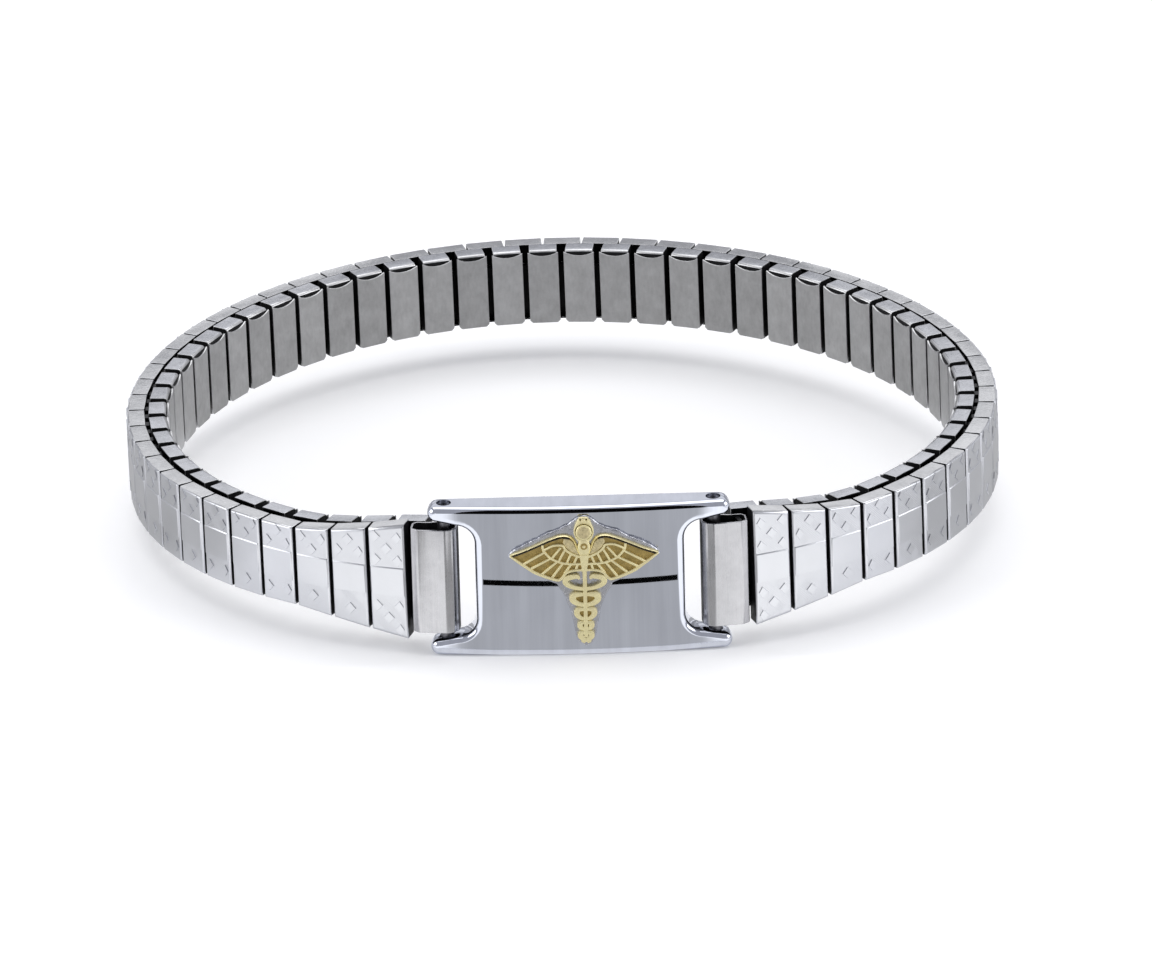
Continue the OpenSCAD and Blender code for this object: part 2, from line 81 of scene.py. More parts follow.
# Each feather from the middle rib to the trailing edge, and each short one to the coverts
FEATHERS = [((0.26, 0.235), (0.418, 0.135)), ((0.22, 0.186), (0.368, 0.098)),
            ((0.176, 0.161), (0.29, 0.054)), ((0.14, 0.147), (0.222, 0.024)),
            ((0.085, 0.138), (0.136, 0.058)), ((0.045, 0.134), (0.058, 0.083))]
SHORT_FEATHERS = [((0.217, 0.18), (0.155, 0.266)), ((0.172, 0.155), (0.126, 0.25)),
                  ((0.118, 0.14), (0.087, 0.218)), ((0.069, 0.136), (0.046, 0.197))]
DOME = [(0.03, 0.2), (0.056, 0.262), (0.072, 0.306), (0.1, 0.331), (0.135, 0.336), (0.142, 0.3),
        (0.122, 0.262), (0.09, 0.228), (0.06, 0.21)]
SOLDER = [(0, 0.515), (0.05, 0.5), (0.11, 0.446), (0.2, 0.408), (0.3, 0.353), (0.4, 0.304),
          (0.49, 0.239), (0.512, 0.207), (0.47, 0.168), (0.36, 0.078), (0.25, 0.01), (0.19, -0.02),
          (0.16, -0.076), (0.125, -0.141), (0.1, -0.239), (0.078, -0.348), (0.07, -0.424),
          (0.05, -0.489), (0, -0.516)]
# Each bend of the snakes: half width, top and bottom, then the same of its hollow
BENDS = [(0.149, 0.047, -0.078, 0.114, 0.018, -0.049), (0.107, -0.095, -0.207, 0.064, -0.119, -0.176),
         (0.078, -0.214, -0.316, 0.04, -0.236, -0.29), (0.058, -0.324, -0.397, 0.021, -0.34, -0.376),
         (0.057, -0.402, -0.48, 0.017, -0.422, -0.45)]
BEND = [(0, 0), (0.62, 0), (0.88, 0.1), (1, 0.36), (0.92, 0.6), (0.66, 0.82), (0.34, 0.95), (0, 1)]
NECK = [(-0.005, 0.33), (0.03, 0.33), (0.036, 0.3), (0.044, 0.272), (0.034, 0.2), (-0.005, 0.19)]
KNOB_FRAME = [(0.0, 0.5), (0.03, 0.498), (0.046, 0.465), (0.066, 0.405), (0.067, 0.372), (0.056, 0.335),
              (0.038, 0.31), (0.034, 0.3), (0.0, 0.3)]
STAFF = [(0, 0.205), (0, 0.15), (0, 0.09), (0, 0.03)]
FOOT = [(0, -0.445), (0.036, -0.45), (0.034, -0.488), (0.012, -0.499), (0, -0.485)]
# The painted shadow under each wing's front rib, a near-black ribbon: its drop, as a share of the
# height, and its width in millimetres
LEAD_SHADE_DROP = 0.0125
SHADE_WIDTH = 0.045
# Discs and holes on the middle line: height as a share, radius in millimetres, number of corners
DISCS = {"Knob bed": (0.385, 0.6, 32), "Knob rim": (0.385, 0.54, 32), "Knob disc": (0.385, 0.43, 32),
         "Knob hole": (0.385, 0.585, 40), "Knob eye": (0.482, 0.075, 12),
         "Boss ring": (0.272, 0.24, 24), "Boss": (0.27, 0.11, 16)}
# In millimetres: how far each eye lies beside the middle line, the staff's width, and how far above
# the foot of the last bend the staff ends
KNOB_EYE_ASIDE = 0.2
STAFF_WIDTH = 0.27
STAFF_END = 0.3
# Where each snake's head starts, from the top of the first bend, and its width, in millimetres
HEAD = [(0.36, -0.3, 0.12), (0.5, -0.12, 0.3)]
# Widths along a line of the emblem, in widths of a rib or of the staff
LEAD_WIDTHS = (0.8, 0.8, 0.75, 0.7, 0.65, 0.65, 0.65, 0.65, 0.6)
TRAIL_WIDTHS = (1.0, 1.5, 1.7, 1.7, 1.7, 1.6, 1.6, 1.6, 1.5, 1.4, 1.4)
MIDDLE_WIDTH = 1.35
FEATHER_WIDTHS = (1.3, 1.5)
SHORT_FEATHER_WIDTHS = (1.25, 1.3)
STAFF_WIDTHS = (2.3, 1.9, 1.35, 1.0, 1.0)
# Each flat part of the emblem: how far its top is below the crest, or None for one that ends at the
# floor of the wings, and the softness of its edges, in millimetres. Those with 0 stay sharp or are
# shaped further.
EMBLEM_PARTS = {
    "Wing floor": (None, 0.02), "Bend floor": (None, 0.02), "Knob bed": (None, 0.02),
    "Wing trail": (0.0, 0.028), "Wing middle": (0.02, 0.028), "Wing covert": (0.01, 0.028),
    "Feather": (0.03, 0.028), "Short feather": (0.04, 0.028), "Snake bend": (0.01, 0.028),
    "Staff": (-0.01, 0.028), "Wing dome": (0.06, 0.07), "Foot": (0.03, 0.06), "Neck": (0.02, 0.07),
    "Knob disc": (-0.09, 0.02), "Boss ring": (0.01, 0.01), "Boss": (-0.04, 0.05),
    "Lead shade": (0.04, 0), "Knob frame": (0.05, 0), "Knob rim": (-0.02, 0)}
KNOB_FRAME_SOFTNESS = 0.035
KNOB_RIM_ROUNDING = 0.05


def length(name, text, default):
    return bpy.props.FloatProperty(name=name, description=text, default=default * MM,
                                   unit="LENGTH", precision=5)


def number(name, text, default):
    return bpy.props.IntProperty(name=name, description=text, default=default)


def angle(name, text, degrees):
    return bpy.props.FloatProperty(name=name, description=text, default=math.radians(degrees),
                                   unit="ROTATION")


def share(name, text, default):
    return bpy.props.FloatProperty(name=name, description=text, default=default, precision=4)


def colour(name, text, default):
    return bpy.props.FloatVectorProperty(name=name, description=text, default=default, subtype="COLOR",
                                         size=3, min=0.0, max=1.0)


class BandSizes(bpy.types.PropertyGroup):
    link_count: number("Links", "Links in the outer row", 56)
    link_pitch: length("Pitch", "Distance from one joint to the next along the middle line", 2.65)
    link_gap: length("Link gap", "Room between two outer links", 0.1)
    height: length("Height", "Height of the outer links", 5.7)
    end_height: length("End height", "Height of the band beside the plate", 8.4)
    flare_links: number("Flare", "Links over which the band widens", 3)
    row_gap: length("Row gap", "Room between the outer and the inner row", 0.55)
    lip: length("Lip", "How far the links' open rims reach into the room between the rows", 0.12)
    outer_depth: length("Outer depth", "Depth of an outer link with its panel", 1.15)
    panel_height: length("Panel height", "Height of the plain panel on an outer link", 2.15)
    panel_rise: length("Panel rise", "How far the panel stands out", 0.06)
    wall: length("Wall", "Sheet thickness of the links", 0.12)
    inner_depth: length("Inner depth", "Depth of an inner link's body", 1.1)
    inner_width: length("Inner width", "Width of an inner link's body", 1.95)
    skin_width: length("Back plate width", "Width of the plate next to the wrist", 2.15)
    skin_thickness: length("Back plate thickness", "Thickness of that plate", 0.15)
    inner_height: length("Inner height", "Height of an inner link", 5.45)
    inner_end_height: length("Inner end height", "Height of the inner link beside the plate", 7.4)
    inner_rise: length("Inner rise", "How much higher the inner row sits", 0.25)
    oval: share("Oval", "Share by which the loop is wider than deep", 0.047)
    pear: share("Pear", "Share by which the loop is fuller beside the plate", 0.02)
    square: share("Square", "Share by which the diagonals are drawn in", 0.003)
    sway: length("Sway", "How far the back of the loop lies to the left", 2.0)
    tilt: angle("Tilt", "Turn of the band on its pins", 0.8)


class PlateSizes(bpy.types.PropertyGroup):
    width: length("Width", "Length of the identity plate", 20.2)
    height: length("Height", "Height of the identity plate", 10.8)
    thickness: length("Thickness", "Thickness of the plate at its middle", 2.2)
    bow: length("Bow", "Radius of the plate's front seen from above", 90.0)
    back_corner: length("Back corner", "Radius of the lugs' back corners", 0.9)
    window_height: length("Window height", "Height of the windows", 8.1)
    window_depth: length("Window depth", "Depth of the windows from the plate's ends", 3.1)
    window_corner: length("Window corner", "Radius of the windows' inner corners", 1.3)
    lug_taper: length("Lug taper", "How much each lug thins towards its tip", 0.25)
    rim: length("Rim", "Softness of the plate's front edges", 0.45)
    pin_inset: length("Pin inset", "Distance of the pins from the plate's ends", 1.1)
    pin_depth: length("Pin depth", "Distance of the pins from the plate's front", 1.45)
    pin_hole: length("Pin hole", "Diameter of the pins' holes", 1.0)
    end_link_height: length("End link height", "Height of an end link", 7.5)
    end_wall: length("End link sheet", "Sheet thickness of an end link", 0.16)
    joint_reach: length("Joint reach", "Distance from a pin to the band's first joint", 2.2)
    end_offset: length("End offset", "Distance of an end link from the band's middle line", 0.6)
    end_lean: angle("End lean", "Lean of an end link towards the band", 8)


class EmblemSizes(bpy.types.PropertyGroup):
    width: length("Width", "Width of the emblem over its wing tips", 10.0)
    height: length("Height", "Height of the emblem", 9.2)
    floor: length("Floor", "Thickness of the emblem at its wing floors", 0.14)
    relief: length("Relief", "Height of the ribs over the floors", 0.17)
    lift: length("Lift", "How far the emblem sits above the plate's middle", 0.28)
    rib: length("Rib", "Width of the feather ribs", 0.12)
    solder: length("Solder", "Thickness of the bed of solder", 0.14)
    shift: length("Shift", "How far the emblem sits to the right", 0.3)
    gap: length("Gap", "Gap between the emblem's back and its solder in the CAD", 0.05)


class Finishes(bpy.types.PropertyGroup):
    plate: colour("Plate", "Polished steel of the identity plate", (0.60, 0.625, 0.70))
    outer: colour("Outer links", "Bright steel of the outer links", (0.605, 0.615, 0.645))
    inner: colour("Inner links", "Satin steel of the inner links", (0.55, 0.552, 0.56))
    end_link: colour("End links", "Brushed steel of the end links", (0.45, 0.45, 0.468))
    gold: colour("Gold", "Pale gold of the ribs and rims", (1.0, 0.86, 0.5))
    gold_floor: colour("Gold floors", "Matt gold between the ribs", (0.36, 0.27, 0.10))
    # Painted shade: near black, for the shadow under each wing's front rib and the dark ring round the
    # knob
    groove_shade: colour("Grooves", "Painted seam shade of the emblem", (0.02, 0.017, 0.012))
    solder: colour("Solder", "Grey solder round the emblem", (0.5, 0.505, 0.54))
    # Painted shade: near black for the links' gaps, hollows and hidden sides and the end links' heel
    # sides, where shade falls
    inside: colour("Link insides", "Dark steel of the gaps and hollows", (0.012, 0.012, 0.013))
    pin: colour("Pins", "Steel of the pins", (0.16, 0.16, 0.175))
    # Painted shade: the staples are made near black so that they sink into the shade between the rows
    staple: colour("Staples", "Dark steel of the staples", (0.04, 0.04, 0.043))
    floor: colour("Floor", "Pale floor", (0.94, 0.94, 0.945))


# The curve of the loop, as the CAD draws it

class Loop:
    """The band's middle line; a place on it is given in pitches from the right-hand joint."""
    STEPS = 240
    SOLVES = 24
    # Angles in degrees between which the right-hand joint and the left-hand one are found
    RIGHT_SEARCH = (-88, -10)
    LEFT_SEARCH = (190, 268)
    # How far to each side of a place its heading is taken
    ASIDE = 0.05
    FLARE_POWER = 1.22

    def __init__(self, context):
        band = context.scene.bracelet_band
        plate = context.scene.bracelet_plate
        self.band = band
        self.count = band.link_count
        self.pitch = band.link_pitch
        self.joint_x = plate.width / 2 - plate.pin_inset + plate.joint_reach
        low = self.count * self.pitch / 8
        high = self.count * self.pitch / 4
        for _ in range(self.SOLVES):
            middle = (low + high) / 2
            if self.table(middle)[-1][0] > self.count * self.pitch:
                high = middle
            else:
                low = middle
        self.radius = (low + high) / 2
        self.runs = self.table(self.radius)
        here = self.on_curve(0)
        turn = self.heading(0)
        toe_x = here.x + plate.end_offset * math.sin(turn)
        toe_y = here.y - plate.end_offset * math.cos(turn)
        self.pin_x = plate.width / 2 - plate.pin_inset
        self.pin_y = toe_y - (toe_x - self.pin_x) * math.tan(plate.end_lean)
        self.toe_reach = math.hypot(toe_x - self.pin_x, toe_y - self.pin_y)
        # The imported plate's box says how far the whole was moved
        front = self.pin_y - plate.pin_depth
        self.shift = Vector(((PLATE_LOW.x + PLATE_HIGH.x) / 2, PLATE_HIGH.y - plate.thickness - front,
                             (PLATE_LOW.z + PLATE_HIGH.z) / 2))

    def oval(self, angle, radius):
        band = self.band
        wide = (1 + band.oval * math.cos(2 * angle) - band.pear * math.sin(3 * angle)
                - band.square * math.cos(4 * angle))
        return Vector((radius * wide * math.cos(angle) - band.sway * (1 + math.sin(angle)) / 2,
                       radius * wide * math.sin(angle), 0))

    def angle_where(self, radius, search, target):
        """The angle at which the oval, on its way to the right, passes an x."""
        low = math.radians(search[0])
        high = math.radians(search[1])
        for _ in range(self.SOLVES):
            middle = (low + high) / 2
            if self.oval(middle, radius).x > target:
                high = middle
            else:
                low = middle
        return (low + high) / 2

    def table(self, radius):
        """Rows of the run along the oval and its angle, from one joint round to the other."""
        start = self.angle_where(radius, self.RIGHT_SEARCH, self.joint_x)
        stop = self.angle_where(radius, self.LEFT_SEARCH, -self.joint_x)
        rows = []
        run = 0.0
        before = None
        for k in range(self.STEPS + 1):
            angle = start + (stop - start) * k / self.STEPS
            point = self.oval(angle, radius)
            if before is not None:
                run += (point - before).length
            rows.append((run, angle))
            before = point
        return rows

    def on_curve(self, place):
        run = min(max(place * self.pitch, 0.0), self.runs[-1][0])
        for (run_a, angle_a), (run_b, angle_b) in zip(self.runs, self.runs[1:]):
            if run <= run_b:
                break
        return self.oval(angle_a + (angle_b - angle_a) * (run - run_a) / (run_b - run_a), self.radius)

    def heading(self, place):
        inside = max(self.ASIDE, min(self.count - self.ASIDE, place))
        way = self.on_curve(inside + self.ASIDE) - self.on_curve(inside - self.ASIDE)
        return math.atan2(way.y, way.x)

    def flare(self, place):
        from_end = max(0.0, min(place, self.count - place))
        return max(0.0, 1 - from_end / self.band.flare_links) ** self.FLARE_POWER

    def half_height(self, place, height, end_height):
        return (height + (end_height - height) * self.flare(place)) / 2

    def outer_half(self, place):
        return self.half_height(place, self.band.height, self.band.end_height)

    def inner_half(self, place):
        return self.half_height(place, self.band.inner_height, self.band.inner_end_height)

    def in_band(self):
        """From the band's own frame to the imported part's: it leans a little on its pins."""
        return Matrix.Translation(self.shift) @ Matrix.Rotation(-self.band.tilt, 4, "Y")

    def link_place(self, place, point):
        return self.in_band() @ Matrix.Translation(point) @ Matrix.Rotation(self.heading(place), 4, "Z")


# Bench work: small helpers round Blender's own tools

def clear_bench():
    if bpy.context.object is not None and bpy.context.object.mode != "OBJECT":
        bpy.ops.object.mode_set(mode="OBJECT")
    bpy.ops.object.select_all(action="DESELECT")


def take(piece):
    """Makes the piece the only one that Blender's tools work on."""
    clear_bench()
    piece.select_set(True)
    bpy.context.view_layer.objects.active = piece


def block(name, low, high):
    """A box between two corners, its place in its mesh."""
    clear_bench()
    low = Vector(low)
    high = Vector(high)
    bpy.ops.mesh.primitive_cube_add(size=1, location=(low + high) / 2, scale=high - low)
    bpy.ops.object.transform_apply(location=True, rotation=True, scale=True)
    piece = bpy.context.object
    piece.name = name
    return piece


def slab(name, outline, near, far):
    """A flat outline of any number of corners, drawn out from one height to another."""
    clear_bench()
    bpy.ops.mesh.primitive_circle_add(vertices=len(outline), radius=MM, fill_type="NGON")
    piece = bpy.context.object
    piece.name = name
    for corner, (x, y) in zip(piece.data.vertices, outline):
        corner.co = (x, y, near)
    bpy.ops.object.mode_set(mode="EDIT")
    bpy.ops.mesh.select_all(action="SELECT")
    bpy.ops.mesh.extrude_region_move(TRANSFORM_OT_translate={"value": (0, 0, far - near)})
    bpy.ops.mesh.select_all(action="SELECT")
    bpy.ops.mesh.normals_make_consistent(inside=False)
    bpy.ops.object.mode_set(mode="OBJECT")
    return piece


def edit_all(piece):
    """Into edit mode with everything selected."""
    take(piece)
    bpy.ops.object.mode_set(mode="EDIT")
    bpy.ops.mesh.select_all(action="SELECT")


def edit_none(piece, kind):
    """In and out of edit mode, where faces or edges are picked, with nothing selected."""
    take(piece)
    bpy.ops.object.mode_set(mode="EDIT")
    bpy.ops.mesh.select_mode(type=kind)
    bpy.ops.mesh.select_all(action="DESELECT")
    bpy.ops.object.mode_set(mode="OBJECT")


def pick_faces(piece, wanted):
    """Into edit mode with the faces selected that a test of their middle and normal names."""
    edit_none(piece, "FACE")
    for face in piece.data.polygons:
        face.select = wanted(face.center, face.normal)
    bpy.ops.object.mode_set(mode="EDIT")


def bevel_edges(piece, wanted, width, steps):
    """Rounds the edges that a test names, which is asked about both of their ends."""
    edit_none(piece, "EDGE")
    mesh = piece.data
    for edge in mesh.edges:
        a, b = (mesh.vertices[k].co for k in edge.vertices)
        edge.select = wanted(a, b)
    bpy.ops.object.mode_set(mode="EDIT")
    bpy.ops.mesh.bevel(offset=width, segments=steps, affect="EDGES", profile=0.5)
    bpy.ops.object.mode_set(mode="OBJECT")


def shave(piece, point, normal, keep_cut_off=False):
    """Cuts the piece flat through a point; what lies beyond the plane goes, unless it is kept."""
    edit_all(piece)
    bpy.ops.mesh.bisect(plane_co=point, plane_no=normal, use_fill=not keep_cut_off,
                        clear_outer=not keep_cut_off, threshold=TINY)
    bpy.ops.object.mode_set(mode="OBJECT")


def hollow(piece, wanted, wall, depth):
    """Sinks a pocket into the faces that a test names, inside a wall."""
    pick_faces(piece, wanted)
    bpy.ops.mesh.inset(thickness=wall)
    bpy.ops.mesh.extrude_region_move(TRANSFORM_OT_translate={"value": depth})
    bpy.ops.object.mode_set(mode="OBJECT")


def soften(piece, width, angle):
    """Rounds every edge that is sharper than an angle, in two steps."""
    take(piece)
    bevel = piece.modifiers.new("Soft edges", "BEVEL")
    bevel.width = width
    bevel.segments = 2
    bevel.limit_method = "ANGLE"
    bevel.angle_limit = math.radians(angle)
    bpy.ops.object.modifier_apply(modifier=bevel.name)


def smooth(piece, angle):
    """Smooth shading that leaves the large faces flat."""
    take(piece)
    bpy.ops.object.shade_smooth_by_angle(angle=math.radians(angle))
    flat = piece.modifiers.new("Flat faces", "WEIGHTED_NORMAL")
    flat.weight = 100
    flat.keep_sharp = True
    bpy.ops.object.modifier_apply(modifier=flat.name)


def joined(name, pieces):
    """The pieces as one, under a new name."""
    clear_bench()
    for piece in pieces:
        piece.select_set(True)
    bpy.context.view_layer.objects.active = pieces[0]
    if len(pieces) > 1:
        bpy.ops.object.join()
    piece = bpy.context.object
    piece.name = name
    piece.data.name = name
    return piece


def copy_of(piece, matrix):
    """A copy with its own mesh, moved into place in that mesh."""
    double = piece.copy()
    double.data = piece.data.copy()
    double.data.transform(matrix)
    bpy.context.scene.collection.objects.link(double)
    return double


def scrap(pieces):
    for piece in pieces:
        bpy.data.objects.remove(piece)


def bore(piece, place, radius, depth, corners):
    """Drills an upright round hole through a place."""
    clear_bench()
    bpy.ops.mesh.primitive_cylinder_add(vertices=corners, radius=radius, depth=depth, location=place)
    cutter = bpy.context.object
    take(piece)
    cut = piece.modifiers.new("Cut", "BOOLEAN")
    cut.operation = "DIFFERENCE"
    cut.solver = "EXACT"
    cut.object = cutter
    bpy.ops.object.modifier_apply(modifier=cut.name)
    scrap([cutter])


def wire(name, points, radii):
    """A round wire through points; each point has its own radius."""
    curve = bpy.data.curves.new(name, "CURVE")
    curve.dimensions = "3D"
    curve.bevel_depth = 1.0
    curve.bevel_resolution = 2
    curve.resolution_u = 4
    curve.use_fill_caps = True
    line = curve.splines.new("BEZIER")
    line.bezier_points.add(len(points) - 1)
    for knot, (x, y), radius in zip(line.bezier_points, points, radii):
        knot.co = (x, y, 0)
        knot.radius = radius
        knot.handle_left_type = "AUTO"
        knot.handle_right_type = "AUTO"
    piece = bpy.data.objects.new(name, curve)
    bpy.context.scene.collection.objects.link(piece)
    take(piece)
    bpy.ops.object.convert(target="MESH")
    edit_all(bpy.context.object)
    bpy.ops.mesh.remove_doubles(threshold=0.001 * MM)
    bpy.ops.mesh.normals_make_consistent(inside=False)
    bpy.ops.object.mode_set(mode="OBJECT")
    return bpy.context.object


# Name of the attribute that notes which of its finishes a face wears
FINISH_NUMBER = "finish_number"


def finish_piece(piece, nodes, finishes):
    """The finished piece: rides on the part, stands for its CAD nodes, wears its finishes."""
    piece.data.materials.clear()
    for material in finishes:
        piece.data.materials.append(material)
    numbers = piece.data.attributes.get(FINISH_NUMBER)
    if numbers is not None:
        for face, number in zip(piece.data.polygons, numbers.data):
            face.material_index = number.value
        piece.data.attributes.remove(numbers)
    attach(piece, "root")
    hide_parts(*nodes)


def mark_faces(piece, wanted, index):
    """Notes which of the piece's finishes the faces wear that a test of middle and normal names."""
    mesh = piece.data
    numbers = mesh.attributes.get(FINISH_NUMBER)
    if numbers is None:
        numbers = mesh.attributes.new(FINISH_NUMBER, "INT", "FACE")
    for face in mesh.polygons:
        if wanted(face.center, face.normal):
            numbers.data[face.index].value = index


def paint_faces(piece, index):
    mark_faces(piece, lambda middle, normal: True, index)


# Finishes: shader maths written as plain arithmetic

class Signal:
    """A shader socket that takes part in arithmetic."""

    def __init__(self, finish, socket):
        self.finish = finish
        self.socket = socket

    def output(self, name):
        """Another output of the same node."""
        return Signal(self.finish, self.socket.node.outputs[name])

    def maths(self, operation, *others):
        return self.finish.node("ShaderNodeMath", {"operation": operation},
                                dict(enumerate((self,) + others)))

    def __add__(self, other):
        return self.maths("ADD", other)

    __radd__ = __add__

    def __mul__(self, other):
        return self.maths("MULTIPLY", other)

    __rmul__ = __mul__

    def __sub__(self, other):
        return self.maths("SUBTRACT", other)

    def __rsub__(self, other):
        return self.finish.node("ShaderNodeMath", {"operation": "SUBTRACT"}, {0: other, 1: self})

    def __truediv__(self, other):
        return self.maths("DIVIDE", other)

    def sine(self):
        return self.maths("SINE")

    def away_from_whole(self):
        """Distance from the nearest whole number, from 0 to 0.5."""
        return (self - self.maths("ROUND")).maths("ABSOLUTE")

    def above(self, edge, softness):
        """0 below an edge and 1 above it, with a soft step."""
        return self.finish.node("ShaderNodeMapRange", {"interpolation_type": "SMOOTHSTEP"},
                                {0: self, 1: edge - softness, 2: edge + softness, 3: 0.0, 4: 1.0})


class Finish:
    """One procedural material."""

    def __init__(self, name):
        self.material = bpy.data.materials.new(name)
        self.material.use_nodes = True
        self.tree = self.material.node_tree
        self.tree.nodes.clear()

    def node(self, kind, settings=None, sockets=None, out=0):
        """Any node: its settings, what goes into its sockets, and the output that is used."""
        made = self.tree.nodes.new(kind)
        for key, value in (settings or {}).items():
            setattr(made, key, value)
        for key, value in (sockets or {}).items():
            if isinstance(value, Signal):
                self.tree.links.new(value.socket, made.inputs[key])
            else:
                made.inputs[key].default_value = value
        return None if out is None else Signal(self, made.outputs[out])

    def place(self):
        return self.node("ShaderNodeTexCoord", out="Object")

    def noise(self, scale, detail, stretch=(1, 1, 1), roughness=0.5):
        """Noise with so many lumps to the metre; a stretch below 1 draws them out along its axis."""
        place = self.node("ShaderNodeMapping", None, {"Vector": self.place(), "Scale": stretch})
        return self.node("ShaderNodeTexNoise", None,
                         {"Vector": place, "Scale": scale, "Detail": detail, "Roughness": roughness})

    def blend(self, factor, first, second):
        """The first colour at a factor of 0 and the second at 1."""
        first, second = (one if isinstance(one, Signal) else (*one, 1) for one in (first, second))
        return self.node("ShaderNodeMix", {"data_type": "RGBA"},
                         {0: factor, 6: first, 7: second}, out=2)

    def link_tone(self):
        """The tone that each link has of its own."""
        return self.node("ShaderNodeAttribute", {"attribute_name": "link_tone"}, out="Fac")

    def bump(self, height, strength, depth):
        """A normal from a height; its depth is in millimetres."""
        return self.node("ShaderNodeBump", None,
                         {"Height": height, "Strength": strength, "Distance": depth * MM})

    def finished(self, colour, roughness, metallic=1.0, normal=None, **constants):
        sockets = {"Base Color": colour if isinstance(colour, Signal) else (*colour, 1),
                   "Roughness": roughness, "Metallic": metallic}
        if normal is not None:
            sockets["Normal"] = normal
        for key, value in constants.items():
            sockets[key.replace("_", " ")] = value
        shader = self.node("ShaderNodeBsdfPrincipled", None, sockets)
        self.node("ShaderNodeOutputMaterial", None, {"Surface": shader}, out=None)
        return self.material


def toned(colour, factor):
    return tuple(min(1.0, channel * factor) for channel in colour)


def plate_finish(tone):
    """Polished steel with faint upright streaks and the haze of handling."""
    finish = Finish("Plate polish")
    streaks = finish.noise(900.0, 4.0, (1.0, 0.3, 0.05), 0.6)
    haze = finish.noise(260.0, 3.0)
    scratch = finish.noise(5200.0, 2.0, (1.0, 0.2, 0.04))
    mix = finish.blend(streaks * 0.7 + haze * 0.3, toned(tone, 0.72), toned(tone, 1.26))
    return finish.finished(mix, 0.008 + haze * 0.03, normal=finish.bump(scratch, 0.01, 0.02))


def bright_finish(name, tone, rough, hatched):
    """Bright steel of the outer links; the hatched faces have the basket of fine lines."""
    finish = Finish(name)
    cloud = finish.noise(420.0, 3.0)
    grain = finish.noise(3800.0, 3.0)
    height = grain * 0.25
    strength = 0.12
    shade = cloud * 0.5 + finish.link_tone() * 0.5
    if hatched:
        around = finish.node("ShaderNodeUVMap", {"uv_map": "link_face"})
        across = finish.node("ShaderNodeSeparateXYZ", None, {0: around})
        up = across.output("Y")
        rising = (across / LATTICE_ACROSS + up / LATTICE_UP) * 0.5
        falling = (across / LATTICE_ACROSS - up / LATTICE_UP) * 0.5
        rising_band = rising.away_from_whole().above(0.26, 0.02)
        falling_band = falling.away_from_whole().above(0.26, 0.02)
        lines_up = (rising * (HATCH_LINES * math.tau)).sine()
        lines_down = (falling * (HATCH_LINES * math.tau)).sine()
        worn = 0.2 + finish.noise(330.0, 2.0).above(0.42, 0.14) * 0.8
        weave = (rising_band * lines_up + (1 - rising_band) * (falling_band * lines_down)) * worn
        height = grain * 0.1 + weave * 0.5
        strength = 0.24
        shade = shade + weave * 0.1
    mix = finish.blend(shade, toned(tone, 0.84), toned(tone, 1.12))
    return finish.finished(mix, rough + cloud * 0.1, normal=finish.bump(height, strength, 0.04))


def satin_finish(name, tone, rough):
    """Satin steel, mottled from wear next to the skin."""
    finish = Finish(name)
    cloud = finish.noise(900.0, 5.0, roughness=0.7)
    grain = finish.noise(5200.0, 3.0, (1.0, 1.0, 0.35))
    mix = finish.blend(cloud * 0.6 + grain * 0.25 + finish.link_tone() * 0.15,
                       toned(tone, 0.5), toned(tone, 1.5))
    return finish.finished(mix, rough + cloud * 0.16, normal=finish.bump(grain, 0.12, 0.04))


def brushed_finish(tone):
    """Steel of the end links, brushed up and down."""
    finish = Finish("End link brushed")
    strokes = finish.noise(5200.0, 4.0, (1.0, 1.0, 0.03), 0.6)
    cloud = finish.noise(1100.0, 5.0, roughness=0.65)
    mix = finish.blend(strokes * 0.4 + cloud * 0.6, toned(tone, 0.7), toned(tone, 1.3))
    return finish.finished(mix, 0.2 + strokes * 0.14, normal=finish.bump(strokes, 0.12, 0.03))


def pin_finish(name, tone):
    """Dull steel with fine marks of turning."""
    finish = Finish(name)
    turning = finish.noise(6000.0, 2.0)
    cloud = finish.noise(900.0, 2.0)
    mix = finish.blend(cloud, toned(tone, 0.6), toned(tone, 1.4))
    return finish.finished(mix, 0.28 + turning * 0.14, normal=finish.bump(turning, 0.1, 0.03))


def mottled_finish(name, tone, tones, clouds, grains, rough, bump, metallic=1.0, **constants):
    """Metal between two factors of its tone, by a noise of clouds, with a grain of another noise.

    rough is its least roughness and what the clouds add, bump the strength and depth of the grain.
    """
    finish = Finish(name)
    cloud = finish.noise(*clouds)
    grain = finish.noise(*grains)
    mix = finish.blend(cloud, toned(tone, tones[0]), toned(tone, tones[1]))
    least, more = rough
    return finish.finished(mix, least + cloud * more if more else least, metallic=metallic,
                           normal=finish.bump(grain, *bump), **constants)


def painted_shade_finish(tone):
    """Painted shade: near-black steel where the links face one another."""
    return mottled_finish("Link painted shade", tone, (0.5, 1.6), (900.0, 3.0), (900.0, 3.0),
                          (0.5, 0), (0.1, 0.04), 0.3, Specular_IOR_Level=0.15)


def emblem_finishes(finishes):
    """Worn pale gold, matt dark floors, mottled domes, and near-black painted shade for the shadowed
    lines between them.
    """
    even = (1, 1, 1)
    ribs = mottled_finish("Gold ribs", finishes.gold, (0.86, 1.08), (1500.0, 3.0), (9000.0, 2.0),
                          (0.24, 0.16), (0.12, 0.04), 0.75)
    floors = mottled_finish("Gold floors", finishes.gold_floor, (0.5, 2.0), (2600.0, 4.0, even, 0.65),
                            (8000.0, 3.0), (0.42, 0.2), (0.4, 0.06))
    domes = mottled_finish("Gold domes", finishes.gold, (0.34, 1.0), (3800.0, 4.0, even, 0.6),
                           (9000.0, 3.0), (0.36, 0.16), (0.35, 0.06), 0.8)
    seam_shade = mottled_finish("Painted seam shade", finishes.groove_shade, (0.6, 1.5), (4000.0, 2.0), (4000.0, 2.0),
                           (0.6, 0), (0.2, 0.04), 0.0)
    return [ribs, floors, domes, seam_shade]


